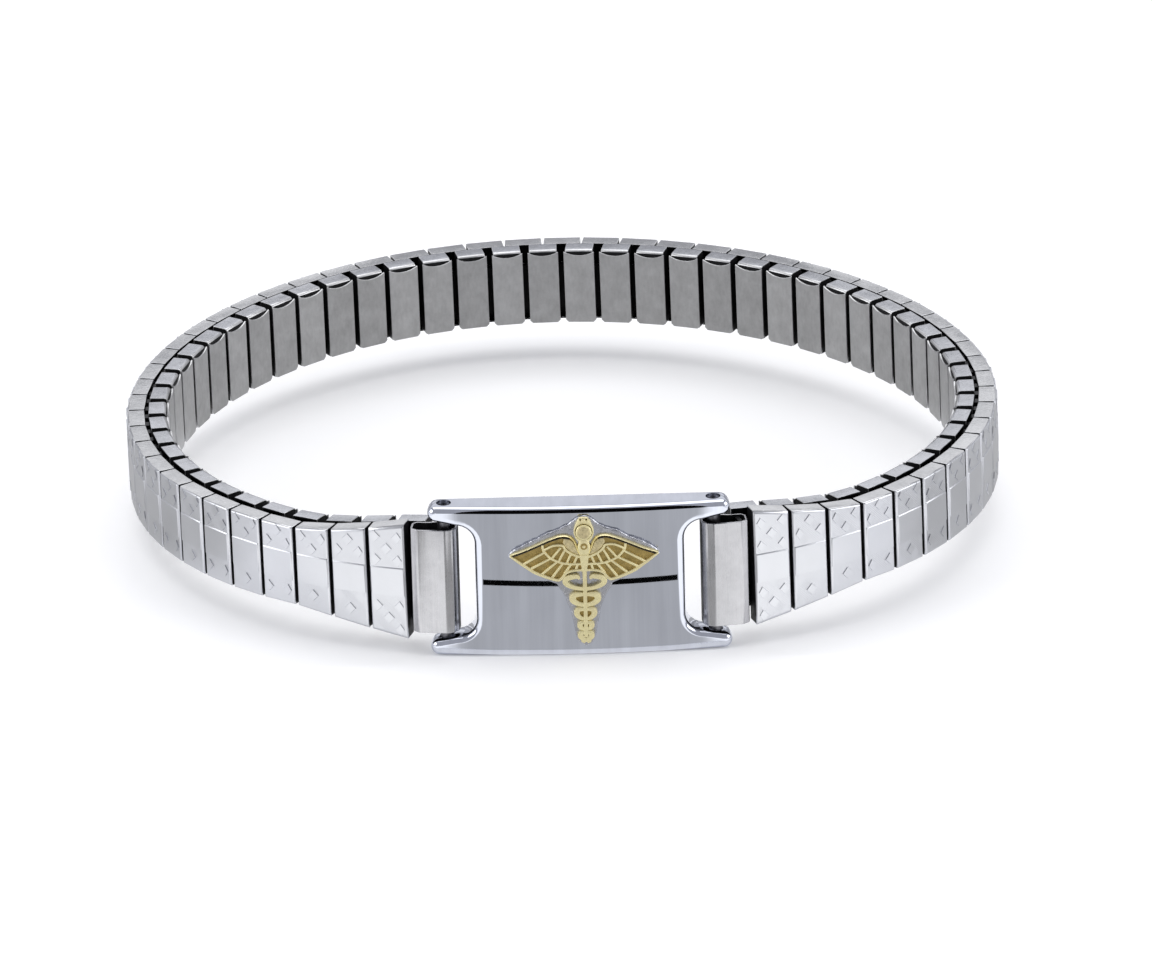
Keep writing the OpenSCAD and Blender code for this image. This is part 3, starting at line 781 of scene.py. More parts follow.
def solder_finish(tone):
    """Crinkled grey solder; bright spots blended into its colour are painted glints."""
    finish = Finish("Solder")
    lumps = finish.noise(1300.0, 4.0, roughness=0.6)
    crinkle = (finish.noise(3600.0, 3.0) * 4.0).away_from_whole()
    # Painted glints: bright spots blended into the solder's colour
    painted_glints = finish.noise(4600.0, 2.0).above(0.66, 0.04)
    mix = finish.blend(lumps, toned(tone, 0.55), toned(tone, 1.45))
    bright = finish.blend(painted_glints * 0.6, mix, (0.95, 0.95, 0.98))
    return finish.finished(bright, 0.16 + crinkle * 0.3,
                           normal=finish.bump(lumps + crinkle * 0.25, 0.5, 0.1))


def floor_finish(tone):
    """A pale matt floor that gives off a little light of its own."""
    finish = Finish("Pale floor")
    cloud = finish.noise(6.0, 2.0)
    grain = finish.noise(900.0, 2.0)
    mix = finish.blend(cloud, toned(tone, 0.985), toned(tone, 1.01))
    return finish.finished(mix, 0.75, metallic=0.0, normal=finish.bump(grain, 0.03, 0.1),
                           Emission_Color=mix, Emission_Strength=0.12)


# The plate

def arc(cx, cy, radius, start, stop, steps):
    """Points of an arc between two angles in degrees."""
    return [(cx + radius * math.cos(math.radians(start + (stop - start) * k / steps)),
             cy + radius * math.sin(math.radians(start + (stop - start) * k / steps)))
            for k in range(steps + 1)]


def plate_outline(plate):
    """The plate from the front, with its two open-ended windows, anticlockwise from the right."""
    half_w = plate.width / 2
    half_h = plate.height / 2
    inner_x = half_w - plate.window_depth
    half_window = plate.window_height / 2
    turn = plate.window_corner
    lug = plate.lug_taper
    tip_z = half_window + lug
    tip = (half_h - tip_z) / 2
    upper = []
    upper += arc(inner_x + turn, half_window - turn, turn, 180, 90, 8)
    upper += arc(half_w - tip, tip_z + tip, tip, -90, 0, 6)
    upper += arc(half_w - tip, half_h - tip, tip, 0, 90, 6)[1:]
    right = [(x, -z) for x, z in reversed(upper)] + upper
    left = [(-x, z) for x, z in reversed(upper)] + [(-x, -z) for x, z in upper]
    return right + left


def plate_depths(plate):
    """Depth of the plate's front and back behind its foremost line, at a distance from its middle."""
    def front(x):
        return plate.bow - math.sqrt(plate.bow ** 2 - x * x)

    def back(x):
        beyond = min(max(abs(x) - (plate.width / 2 - plate.back_corner), 0.0), plate.back_corner)
        return plate.thickness - plate.back_corner + math.sqrt(plate.back_corner ** 2 - beyond ** 2)

    return front, back


def round_rim(piece, wanted, radius, steps, flat=0.0):
    """Rounds the rim of a flat face by insets on a quarter circle; a last level one keeps it flat."""
    pick_faces(piece, wanted)
    for k in range(steps):
        low = math.radians(90 * k / steps)
        high = math.radians(90 * (k + 1) / steps)
        bpy.ops.mesh.inset(thickness=radius * (math.cos(low) - math.cos(high)),
                           depth=radius * (math.sin(high) - math.sin(low)), use_even_offset=True)
    if flat > 0:
        bpy.ops.mesh.inset(thickness=flat, depth=0.0, use_even_offset=True)
    bpy.ops.object.mode_set(mode="OBJECT")


# The plate's back rim and the level rim of its front, in millimetres, and the steps of each rounding
BACK_RIM = 0.15
LEVEL_RIM = 0.06
RIM_STEPS = 6
BACK_RIM_STEPS = 3
# Where the plate is cut upright so that it can bow: even steps, and distances from its ends
BOW_STEP = 1.2
BOW_CUTS = 7
END_CUTS = (0.9, 0.7, 0.5, 0.32, 0.16, 0.06)


def make_plate(context):
    """The plate lies flat at first, 1 mm to each side, and is then bowed and stood upright."""
    plate = context.scene.bracelet_plate
    loop = Loop(context)
    half_w = plate.width / 2
    back_rim = BACK_RIM * MM
    piece = slab("Plate", plate_outline(plate), -MM + back_rim, MM - plate.rim)
    round_rim(piece, lambda middle, normal: normal.z > FACING, plate.rim, RIM_STEPS, LEVEL_RIM * MM)
    round_rim(piece, lambda middle, normal: normal.z < -FACING, back_rim, BACK_RIM_STEPS)
    cuts = [k * BOW_STEP * MM for k in range(-BOW_CUTS, BOW_CUTS + 1)]
    for side in (-1, 1):
        cuts += [side * (half_w - beyond * MM) for beyond in END_CUTS]
    for x in cuts:
        shave(piece, (x, 0, 0), (1, 0, 0), keep_cut_off=True)
    front, back = plate_depths(plate)
    front_y = loop.pin_y - plate.pin_depth
    for corner in piece.data.vertices:
        x, z, height = corner.co
        depth = front(x) + MM - height if height > 0 else back(x) - MM - height
        corner.co = loop.shift + Vector((x, front_y + depth, z))
    for side in (-1, 1):
        place = (side * loop.pin_x + loop.shift.x, loop.pin_y + loop.shift.y, loop.shift.z)
        bore(piece, place, plate.pin_hole / 2, 2 * plate.height, 32)
    smooth(piece, 30.0)
    piece.name = "plate"
    finishes = context.scene.bracelet_finishes
    finish_piece(piece, ["id_plate"], [plate_finish(finishes.plate)])


# The emblem and its solder

def emblem_place(context, lift):
    """From a drawing of the emblem, with its height towards the eye, to the plate's front."""
    plate = context.scene.bracelet_plate
    emblem = context.scene.bracelet_emblem
    loop = Loop(context)
    front_y = loop.pin_y - plate.pin_depth + loop.shift.y
    return Matrix.Translation((loop.shift.x + emblem.shift, front_y, loop.shift.z + lift)) @ UPRIGHT


def eased(values, steps):
    """Points or widths with smooth ones put between them."""
    if steps < 2:
        return [tuple(value) for value in values]
    out = []
    last = len(values) - 1
    for k in range(last):
        a, b, c, d = (values[max(k - 1, 0)], values[k], values[k + 1], values[min(k + 2, last)])
        for step in range(steps):
            t = step / steps
            out.append(tuple(
                0.5 * (2 * q + (r - p) * t + (2 * p - 5 * q + 4 * r - s) * t * t
                       + (3 * q - p - 3 * r + s) * t ** 3)
                for p, q, r, s in zip(a, b, c, d)))
    return out + [tuple(values[-1])]


def ribbon_outline(path, widths, steps):
    """The outline of a flat band that follows a path, with its own width at each point."""
    rows = eased([(x, z, w) for (x, z), w in zip(path, widths)], steps)
    one = []
    other = []
    for k, (x, z, w) in enumerate(rows):
        ahead = rows[min(k + 1, len(rows) - 1)]
        behind = rows[max(k - 1, 0)]
        dx = ahead[0] - behind[0]
        dz = ahead[1] - behind[1]
        size = math.hypot(dx, dz)
        one.append((x - dz / size * w / 2, z + dx / size * w / 2))
        other.append((x + dz / size * w / 2, z - dx / size * w / 2))
    return one + other[::-1]


def make_emblem(context):
    """The emblem, drawn flat in its own frame and then set on the plate's front."""
    emblem = context.scene.bracelet_emblem
    back = emblem.solder + emblem.gap
    floor = back + emblem.floor
    crest = floor + emblem.relief
    rib = emblem.rib
    ribs = []
    floors = []
    domes = []
    seam_shade = []

    def drawn(shares):
        return [(x * emblem.width, z * emblem.height) for x, z in shares]

    def mirrored(path):
        return [(-x, z) for x, z in path]

    def both(shares):
        return [drawn(shares), mirrored(drawn(shares))]

    def whole(half_path):
        return half_path + mirrored(reversed(half_path[1:-1]))

    def level(name, path, kept):
        drop, softness = EMBLEM_PARTS[name]
        piece = slab(name, path, back, floor if drop is None else crest - drop * MM)
        if softness > 0:
            soften(piece, softness * MM, 40.0)
        kept.append(piece)
        return piece

    def ribbon(name, path, widths, steps=3):
        level(name, ribbon_outline(path, widths, steps), ribs)

    def times(factors, width):
        return [width * factor for factor in factors]

    def disc(name):
        height, radius, corners = DISCS[name]
        return arc(0, height * emblem.height, radius * MM, 0, 360, corners)[:-1]

    def drill(piece, name, aside):
        height, radius, corners = DISCS[name]
        bore(piece, (aside * MM, height * emblem.height, 0), radius * MM, 4 * MM, corners)

    for path in both(LEAD + TRAIL[1:]):
        level("Wing floor", path, floors)
    for side in (0, 1):
        lead = wire("Wing lead", both(LEAD)[side], times(LEAD_WIDTHS, rib))
        deep = (crest - back) / (max(LEAD_WIDTHS) * rib)
        for corner in lead.data.vertices:
            corner.co.z = back + max(corner.co.z, 0.0) * deep
        ribs.append(lead)
        # Painted shadow: a near-black ribbon just under the front rib
        shade = [(x, z - LEAD_SHADE_DROP) for x, z in LEAD[3:]]
        shade_widths = [SHADE_WIDTH * MM] * len(shade)
        level("Lead shade", ribbon_outline(both(shade)[side], shade_widths, 3), seam_shade)
        ribbon("Wing trail", both(TRAIL)[side], times(TRAIL_WIDTHS, rib))
        for name, line in (("Wing middle", MIDRIB), ("Wing covert", COVERT)):
            ribbon(name, both(line)[side], times([MIDDLE_WIDTH] * len(line), rib))
        level("Wing dome", both(DOME)[side], domes)
        for ends in FEATHERS:
            ribbon("Feather", both(ends)[side], times(FEATHER_WIDTHS, rib), 1)
        for ends in SHORT_FEATHERS:
            ribbon("Short feather", both(ends)[side], times(SHORT_FEATHER_WIDTHS, rib), 1)
    for row, (wide, top, low, hollow_wide, hollow_top, hollow_low) in enumerate(BENDS):
        outer = drawn([(wide * x, top + (low - top) * z) for x, z in BEND])
        inner = drawn([(hollow_wide * x, hollow_top + (hollow_low - hollow_top) * z) for x, z in BEND])
        right = [((a[0] + b[0]) / 2, (a[1] + b[1]) / 2) for a, b in zip(outer, inner)]
        widths = [math.hypot(a[0] - b[0], a[1] - b[1]) for a, b in zip(outer, inner)]
        if row == 0:
            # The snakes' heads turn down beside the staff
            right = [(x * MM, top * emblem.height + z * MM) for x, z, width in HEAD] + right[1:]
            widths = [width * MM for x, z, width in HEAD] + widths[1:]
        else:
            level("Bend floor", whole(outer), floors)
        for path in (right, mirrored(right)):
            ribbon("Snake bend", path, widths)
    staff = drawn(STAFF) + [(0, BENDS[-1][2] * emblem.height + STAFF_END * MM)]
    ribbon("Staff", staff, times(STAFF_WIDTHS, STAFF_WIDTH * MM))
    level("Foot", whole(drawn(FOOT)), ribs)
    level("Neck", whole(drawn(NECK)), ribs)
    # The knob's bed wears the near-black painted shade, seen as the dark ring round its disc
    level("Knob bed", disc("Knob bed"), seam_shade)
    frame_ring = level("Knob frame", whole(drawn(KNOB_FRAME)), ribs)
    drill(frame_ring, "Knob hole", 0)
    drill(frame_ring, "Knob eye", -KNOB_EYE_ASIDE)
    drill(frame_ring, "Knob eye", KNOB_EYE_ASIDE)
    soften(frame_ring, KNOB_FRAME_SOFTNESS * MM, 40.0)
    rim = level("Knob rim", disc("Knob rim"), ribs)
    round_rim(rim, lambda middle, normal: normal.z > FACING, KNOB_RIM_ROUNDING * MM, 3)
    for name, kept in (("Knob disc", domes), ("Boss ring", floors), ("Boss", ribs)):
        level(name, disc(name), kept)
    for index, pieces in enumerate((ribs, floors, domes, seam_shade)):
        for piece in pieces:
            paint_faces(piece, index)
    piece = joined("caduceus", ribs + floors + domes + seam_shade)
    piece.data.transform(emblem_place(context, emblem.lift))
    smooth(piece, 40.0)
    finish_piece(piece, ["emblem"], emblem_finishes(context.scene.bracelet_finishes))


# How the solder's edge wavers: heights in millimetres, turns to a corner and starts of three waves
WAVES = ((0.03, 0.37, 0), (0.02, 0.61, 1), (0.012, 1.3, 0))
# The solder, in millimetres: steps of its edge, how deep it reaches into the plate, and how far under
# the emblem's back its rounding starts and how large that is
SOLDER_STEP = 0.12
SOLDER_ROOT = 0.5
SOLDER_SHOULDER = 0.12
SOLDER_RIM = 0.13


def make_solder(context):
    """The bed of solder, with a wavering edge and a rounded rim."""
    emblem = context.scene.bracelet_emblem
    right = [(x * emblem.width, z * emblem.height) for x, z in SOLDER]
    corners = right + [(-x, z) for x, z in reversed(right[1:-1])]
    line = []
    for a, b in zip(corners, corners[1:] + corners[:1]):
        span = math.hypot(b[0] - a[0], b[1] - a[1])
        parts = max(1, round(span / (SOLDER_STEP * MM)))
        for part in range(parts):
            t = part / parts
            x = a[0] + (b[0] - a[0]) * t
            z = a[1] + (b[1] - a[1]) * t
            wobble = sum(high * math.sin(len(line) * turn + start) for high, turn, start in WAVES)
            away = math.hypot(x, z)
            line.append((x * (1 + wobble * MM / away), z * (1 + wobble * MM / away)))
    shoulder = emblem.solder + emblem.gap - SOLDER_SHOULDER * MM
    piece = slab("Solder", line, -SOLDER_ROOT * MM, shoulder)
    round_rim(piece, lambda middle, normal: normal.z > FACING, SOLDER_RIM * MM, 4)
    piece.data.transform(emblem_place(context, emblem.lift / 2))
    smooth(piece, 50.0)
    piece.name = "solder"
    finishes = context.scene.bracelet_finishes
    finish_piece(piece, ["id_plate"], [solder_finish(finishes.solder)])


# The end links and pins

def make_end_links(context):
    """Both end links: a folded sheet, modelled once and mirrored for the left."""
    plate = context.scene.bracelet_plate
    loop = Loop(context)
    toe = loop.toe_reach - 0.18 * MM
    heel = 0.9 * MM
    front = 0.95 * MM
    back = 0.72 * MM
    step = 0.18 * MM
    # The folded sheet from above, as in the CAD: round the heel, along the front, back over the step
    outline = [(-heel, -front + 0.6 * MM), (-heel + 0.3 * MM, -front + 0.2 * MM),
               (-heel + 0.75 * MM, -front), (toe - 0.45 * MM, -front), (toe, -front + 0.3 * MM),
               (toe, back - 0.48 * MM), (toe - 0.3 * MM, back - step), (1.15 * MM, back - step),
               (0.55 * MM, back), (-heel + 0.3 * MM, back), (-heel, back - 0.3 * MM)]
    half = plate.end_link_height / 2
    piece = slab("End link", outline, -half, half)
    pick_faces(piece, lambda middle, normal: abs(normal.z) > FACING)
    bpy.ops.mesh.delete(type="ONLY_FACE")
    bpy.ops.object.mode_set(mode="OBJECT")
    bevel_edges(piece, lambda a, b: abs(a.x - b.x) < TINY and abs(a.y - b.y) < TINY, 0.1 * MM, 3)
    take(piece)
    sheet = piece.modifiers.new("Sheet", "SOLIDIFY")
    sheet.thickness = plate.end_wall
    sheet.offset = -1
    bpy.ops.object.modifier_apply(modifier=sheet.name)
    soften(piece, 0.05 * MM, 50.0)
    smooth(piece, 32.0)
    # A point in the fold's hollow tells its inner faces from its outer ones
    core = Vector((0.55, -0.1, 0)) * MM

    def gets_painted_shade(middle, normal):
        inward = normal.x * (middle.x - core.x) + normal.y * (middle.y - core.y) < 0
        return abs(normal.z) < 0.5 and (normal.x < -FACING or inward)

    # Painted shade: the heel side and the fold's inner faces wear the near-black finish
    mark_faces(piece, gets_painted_shade, 1)
    sheets = [brushed_finish(context.scene.bracelet_finishes.end_link),
              painted_shade_finish(context.scene.bracelet_finishes.inside)]
    for side, name in ((1, "right"), (-1, "left")):
        turn = Matrix.Rotation(plate.end_lean, 4, "Z")
        place = Matrix.Translation(loop.shift + Vector((side * loop.pin_x, loop.pin_y, 0)))
        mirror = Matrix.Diagonal((side, 1, 1, 1))
        copy = copy_of(piece, place @ mirror @ turn)
        if side < 0:
            copy.data.flip_normals()
        copy.name = "end_link_" + name + "_sheet"
        copy.data.name = copy.name
        finish_piece(copy, ["end_link_" + name], sheets)
    scrap([piece])


def dress_small_parts(context):
    """Pins and staples keep their CAD shape; the pins get their steel, the staples a near-black steel as
    painted shade between the rows.
    """
    finishes = context.scene.bracelet_finishes
    steel = pin_finish("Pin steel", finishes.pin)
    # The staples' near-black steel is painted shade
    dark = pin_finish("Staple painted shade", finishes.staple)
    for name, finish in (("pin_left", steel), ("pin_right", steel), ("staples", dark)):
        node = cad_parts[name]
        if node.material_slots:
            for slot in node.material_slots:
                slot.material = finish
        else:
            node.data.materials.append(finish)


# The links

# The hatch, in millimetres: from one of its diamonds to the next across and up, how far the highest is
# below the link's top, and how many fine lines run through a diamond
LATTICE_ACROSS = 0.8
LATTICE_UP = 0.84
LATTICE_TOP = 0.47
HATCH_LINES = 10.0


# An outer link, in millimetres: its front's thickness, its side bevels, the rounding of its top and
# bottom, and how much narrower its panel is, how deep that reaches and how it is bevelled
FRONT_WALL = 0.25
SIDE_BEVEL = 0.17
SIDE_BEVEL_DEPTH = 0.5
END_ROUNDING = 0.16
PANEL_MARGIN = 0.015
PANEL_DEPTH = 0.34
PANEL_BEVEL = 0.12
PANEL_BEVEL_DEPTH = 0.22
OUTER_SOFTNESS = 0.05
PANEL_SOFTNESS = 0.035
# Share of a link's height that the strip across its open back has
STRIP_SHARE = 0.45
# How far that strip stays off the link's sides in the outer and the inner row, in millimetres
OUTER_STRIP_MARGIN = 0.1
INNER_STRIP_MARGIN = 0.08
# Share of a link's half height above which a level face belongs to its top
TOP_SHARE = 0.99
# How far behind an outer link's face its hollow can show, in millimetres
HOLLOW_FRONT = 0.2
# Shares of a link's width and height within which a face can lie in its hollow
HOLLOW_WIDE = 0.9
OUTER_HOLLOW_HIGH = 0.96
INNER_HOLLOW_HIGH = 0.9


def outer_blank(band):
    """One outer link of even height, modelled from a block; its back is open."""
    wide = (band.link_pitch - band.link_gap) / 2
    near = band.row_gap / 2 - band.lip
    face = band.row_gap / 2 + band.outer_depth - band.panel_rise
    half = band.height / 2
    panel_half = band.panel_height / 2
    piece = block("Outer link", (-wide, -face, -half), (wide, -near, half))
    hollow(piece, lambda middle, normal: normal.y > FACING, band.wall,
           (0, -(face - near) + FRONT_WALL * MM, 0))
    for side in (-1, 1):
        shave(piece, (side * wide, -face + SIDE_BEVEL_DEPTH * MM, 0),
              (side * SIDE_BEVEL_DEPTH * MM, -SIDE_BEVEL * MM, 0))

    def front_end(corner):
        return corner.y < -face + TINY and abs(abs(corner.z) - half) < TINY

    bevel_edges(piece, lambda a, b: front_end(a) and front_end(b), END_ROUNDING * MM, 3)
    soften(piece, OUTER_SOFTNESS * MM, 38.0)
    for level in (-panel_half, panel_half):
        shave(piece, (0, 0, level), (0, 0, 1), keep_cut_off=True)

    # Painted shade: the sides that face the next links, the open back and the hollow wear the near-black
    # finish
    def gets_painted_shade(middle, normal):
        in_hollow = abs(middle.x) < wide * HOLLOW_WIDE and abs(middle.z) < half * OUTER_HOLLOW_HIGH
        return (abs(normal.x) > SQUARE or normal.y > 0.5
                or (middle.y > -face + HOLLOW_FRONT * MM and in_hollow))

    mark_faces(piece, lambda middle, normal: normal.y < -SQUARE and abs(middle.z) > panel_half, 1)
    mark_faces(piece, gets_painted_shade, 2)
    mark_faces(piece, lambda middle, normal: normal.z > FACING and middle.z > half * TOP_SHARE, 3)
    front = -face - band.panel_rise
    panel_wide = wide - PANEL_MARGIN * MM
    panel = block("Panel", (-panel_wide, front, -panel_half),
                  (panel_wide, -face + PANEL_DEPTH * MM, panel_half))
    for side in (-1, 1):
        shave(panel, (side * panel_wide, front + PANEL_BEVEL_DEPTH * MM, 0),
              (side * PANEL_BEVEL_DEPTH, -PANEL_BEVEL, 0))
    shave(panel, (0, front, panel_half - PANEL_BEVEL * MM), (0, -1, 1))
    soften(panel, PANEL_SOFTNESS * MM, 25.0)
    paint_faces(panel, 0)
    strip_wide = wide - OUTER_STRIP_MARGIN * MM
    strip = block("Back wall", (-strip_wide, -near - band.wall, -half * STRIP_SHARE),
                  (strip_wide, -near, half * STRIP_SHARE))
    # The strip across the open back wears painted shade
    paint_faces(strip, 2)
    return joined("Outer link", [piece, panel, strip])


# A raised square, in millimetres: from its middle to its corners at its foot and top, and its height
SQUARE_FOOT = 0.42
SQUARE_TOP = 0.37
SQUARE_RISE = 0.11


def raised_square():
    """One square of the hatch, from a four-sided cone drawn out a little."""
    clear_bench()
    bpy.ops.mesh.primitive_cone_add(vertices=4, radius1=SQUARE_FOOT * MM, radius2=SQUARE_TOP * MM,
                                    depth=SQUARE_RISE * MM, end_fill_type="NGON")
    piece = bpy.context.object
    piece.data.transform(Matrix.Rotation(math.radians(90), 4, "X"))
    piece.data.transform(Matrix.Diagonal((1, 1, LATTICE_UP / LATTICE_ACROSS, 1)))
    return piece


def measured(piece, offset):
    """A UV map in millimetres across and up the link."""
    mesh = piece.data
    layer = mesh.uv_layers.new(name="link_face")
    for loop_corner in mesh.loops:
        point = mesh.vertices[loop_corner.vertex_index].co
        layer.data[loop_corner.index].uv = (point.x / MM + LATTICE_ACROSS, point.z / MM - offset)


def set_tone(piece, tone):
    """Gives a link its tone, which its finishes read as an attribute."""
    layer = piece.data.attributes.new("link_tone", "FLOAT", "POINT")
    layer.data.foreach_set("value", [tone] * len(piece.data.vertices))


# Two uneven numbers that scatter the links' tones, and where each row starts among them
TONE_TURN = 12.9898
TONE_SPREAD = 43758.5453
OUTER_TONES = 3
INNER_TONES = 90


def link_tone(number):
    """A steady tone from 0 to 1 for each link, so that no two neighbours are quite alike."""
    return (math.sin(number * TONE_TURN) * TONE_SPREAD) % 1.0


# How many columns and rows of diamonds are tried on each side. In millimetres: the room that a raised
# square needs towards the link's end and towards its panel, and where the outermost squares are cut
COLUMNS = 1
ROWS = 9
END_MARGIN = 0.46
PANEL_OVERLAP = 0.4
SQUARE_CUT = 1.06


def hatched_link(band, loop, blank, square, i, parity):
    """The outer link of a place, as high as the band is there, with its raised squares."""
    panel_half = band.panel_height / 2
    half = band.height / 2
    face = band.row_gap / 2 + band.outer_depth - band.panel_rise
    link = copy_of(blank, Matrix.Identity(4))
    for corner in link.data.vertices:
        x, y, z = corner.co
        if abs(z) > panel_half:
            taller = (loop.outer_half(i + 0.5 + x / band.link_pitch) - panel_half) / (half - panel_half)
            corner.co.z = math.copysign(panel_half + (abs(z) - panel_half) * taller, z)
    top = min(loop.outer_half(i), loop.outer_half(i + 1)) / MM
    offset = top - LATTICE_TOP - parity * LATTICE_UP
    measured(link, offset)
    squares = []
    for column in range(-COLUMNS, COLUMNS + 1):
        for row in range(-ROWS, ROWS + 1):
            x = column * LATTICE_ACROSS
            z = offset + row * LATTICE_UP
            place_half = loop.outer_half(i + 0.5 + x * MM / band.link_pitch) / MM
            inside = abs(z) + END_MARGIN <= place_half and abs(z) - PANEL_OVERLAP >= panel_half / MM
            if (column + row) % 2 and inside:
                squares.append(copy_of(square, Matrix.Translation((x * MM, -face, z * MM))))
    for piece in squares:
        piece.data.uv_layers.new(name="link_face")
        for corner in piece.data.vertices:
            corner.co.x = max(-SQUARE_CUT * MM, min(SQUARE_CUT * MM, corner.co.x))
    link = joined("Link", [link] + squares)
    smooth(link, 34.0)
    return link


def make_outer_links(context):
    """The outer row: each different link is modelled once and copied along the loop."""
    band = context.scene.bracelet_band
    loop = Loop(context)
    blank = outer_blank(band)
    square = raised_square()
    made = {}
    rows = []
    for i in range(loop.count):
        # The hatch starts with a diamond on every second link, counted from both ends
        parity = min(i, loop.count - 1 - i) % 2
        key = (round(loop.outer_half(i), 7), round(loop.outer_half(i + 1), 7), parity)
        if key not in made:
            made[key] = hatched_link(band, loop, blank, square, i, parity)
        point = (loop.on_curve(i) + loop.on_curve(i + 1)) / 2
        copy = copy_of(made[key], loop.link_place(i + 0.5, point))
        set_tone(copy, link_tone(i + OUTER_TONES))
        rows.append(copy)
    scrap([blank, square] + list(made.values()))
    piece = joined("outer_row", rows)
    finishes = context.scene.bracelet_finishes
    materials = [bright_finish("Outer link polish", finishes.outer, 0.26, False),
                 bright_finish("Outer link hatch", finishes.outer, 0.3, True),
                 painted_shade_finish(finishes.inside),
                 satin_finish("Outer link tops", toned(finishes.outer, 1.1), 0.03)]
    finish_piece(piece, ["outer_links"], materials)


# An inner link, in millimetres: how much thicker its walls are than the sheet, the wall at the end of
# its hollow, the rounding of its cap, the softness of its edges, and its wrist plate's corners, with how
# far the ends of its concave top are below the body's top and how deep the curve between them dips
WALL_MORE = 0.01
CAP_WALL = 0.2
CAP_ROUNDING = 0.24
INNER_SOFTNESS = 0.06
WRIST_CORNER = 0.2
WRIST_DROP = 0.1
WRIST_DIP = 0.29
WRIST_POWER = 2.2
WRIST_STEPS = 8


def inner_blank(band):
    """One inner link of even height: a body with a rounded cap, and its plate next to the wrist."""
    near = band.row_gap / 2 - band.lip
    far = band.row_gap / 2 + band.inner_depth
    wide = band.inner_width / 2
    half = band.inner_height / 2
    body = block("Body", (-wide, near, -half), (wide, far, half))
    hollow(body, lambda middle, normal: normal.y < -FACING, band.wall + WALL_MORE * MM,
           (0, far - near - CAP_WALL * MM, 0))

    def cap_end(corner):
        return corner.y > far - TINY and corner.z > half - TINY

    bevel_edges(body, lambda a, b: cap_end(a) and cap_end(b), CAP_ROUNDING * MM, 4)
    soften(body, INNER_SOFTNESS * MM, 38.0)

    # Painted shade: the sides, the faces towards the wrist and the outer row, and the hollow wear the
    # near-black finish
    def gets_painted_shade(middle, normal):
        inward = normal.x * middle.x + normal.z * middle.z < 0
        in_hollow = abs(middle.x) < wide * HOLLOW_WIDE and abs(middle.z) < half * INNER_HOLLOW_HIGH
        return (abs(normal.x) > SQUARE or normal.y > SQUARE or normal.y < -0.5
                or inward or in_hollow)

    mark_faces(body, gets_painted_shade, 1)
    mark_faces(body, lambda middle, normal: normal.z > FACING and middle.z > half * TOP_SHARE, 2)
    skin = band.skin_width / 2
    corner = WRIST_CORNER * MM
    outline = [(-skin, -half + corner), (-skin + corner, -half), (skin - corner, -half),
               (skin, -half + corner)]
    for k in range(WRIST_STEPS + 1):
        x = 1 - 2 * k / WRIST_STEPS
        dip = WRIST_DIP * MM * (1 - abs(x) ** WRIST_POWER)
        outline.append((x * skin, half - WRIST_DROP * MM - dip))
    plate = slab("Wrist plate", outline, -far, -far - band.skin_thickness)
    plate.data.transform(UPRIGHT)
    soften(plate, INNER_SOFTNESS * MM, 50.0)
    strip_wide = wide - INNER_STRIP_MARGIN * MM
    strip = block("Back wall", (-strip_wide, near, -half * STRIP_SHARE),
                  (strip_wide, near + band.wall, half * STRIP_SHARE))
    paint_faces(plate, 0)
    # The strip across the open back wears painted shade
    paint_faces(strip, 1)
    return joined("Inner link", [body, plate, strip])


def make_inner_links(context):
    """The inner row: copies of one link, each as high as the band is at its joint."""
    band = context.scene.bracelet_band
    loop = Loop(context)
    blank = inner_blank(band)
    smooth(blank, 34.0)
    half = band.inner_height / 2
    rows = []
    for j in range(loop.count + 1):
        link = copy_of(blank, Matrix.Identity(4))
        for corner in link.data.vertices:
            x, y, z = corner.co
            here = loop.inner_half(j + x / band.link_pitch)
            corner.co.z = z + math.copysign(here - half, z) + band.inner_rise
        link.data.transform(loop.link_place(j, loop.on_curve(j)))
        set_tone(link, link_tone(j + INNER_TONES))
        rows.append(link)
    scrap([blank])
    piece = joined("inner_row", rows)
    finishes = context.scene.bracelet_finishes
    finish_piece(piece, ["inner_links"],
                 [satin_finish("Inner link satin", finishes.inner, 0.3), painted_shade_finish(finishes.inside),
                  satin_finish("Inner link tops", finishes.outer, 0.05)])


# The stage

def area_light(name, place, aim, size, power):
    light = bpy.data.lights.new(name, "AREA")
    light.shape = "RECTANGLE"
    light.size = size[0]
    light.size_y = size[1]
    light.energy = power
    lamp = bpy.data.objects.new(name, light)
    lamp.location = place
    lamp.rotation_euler = (Vector(aim) - Vector(place)).to_track_quat("-Z", "Y").to_euler()
    bpy.context.scene.collection.objects.link(lamp)


def card_finish(name, tone):
    """An even card that shines by itself."""
    finish = Finish(name)
    cloud = finish.noise(20.0, 2.0)
    mix = finish.blend(cloud, toned(tone, 0.97), toned(tone, 1.03))
    return lit(finish, mix, 1.0)


def lit(finish, mix, strength):
    black = (0.0, 0.0, 0.0)
    return finish.finished(black, 1.0, metallic=0.0, Emission_Color=mix, Emission_Strength=strength,
                           Specular_IOR_Level=0.0)


def shaded_card_finish(tone, middle, front, near, spread, softness):
    """Grey in front of the plate and bright beside it; the grey widens with the distance."""
    finish = Finish("Shaded card")
    across = finish.node("ShaderNodeSeparateXYZ", None, {0: finish.place()})
    ahead = front - across.output("Y")
    aside = (across - middle).maths("ABSOLUTE") - ahead * spread
    strength = 1.5
    mix = finish.blend(aside.above(near, softness), toned(tone, 1 / strength), (1.0, 1.0, 1.0))
    return lit(finish, mix, strength)


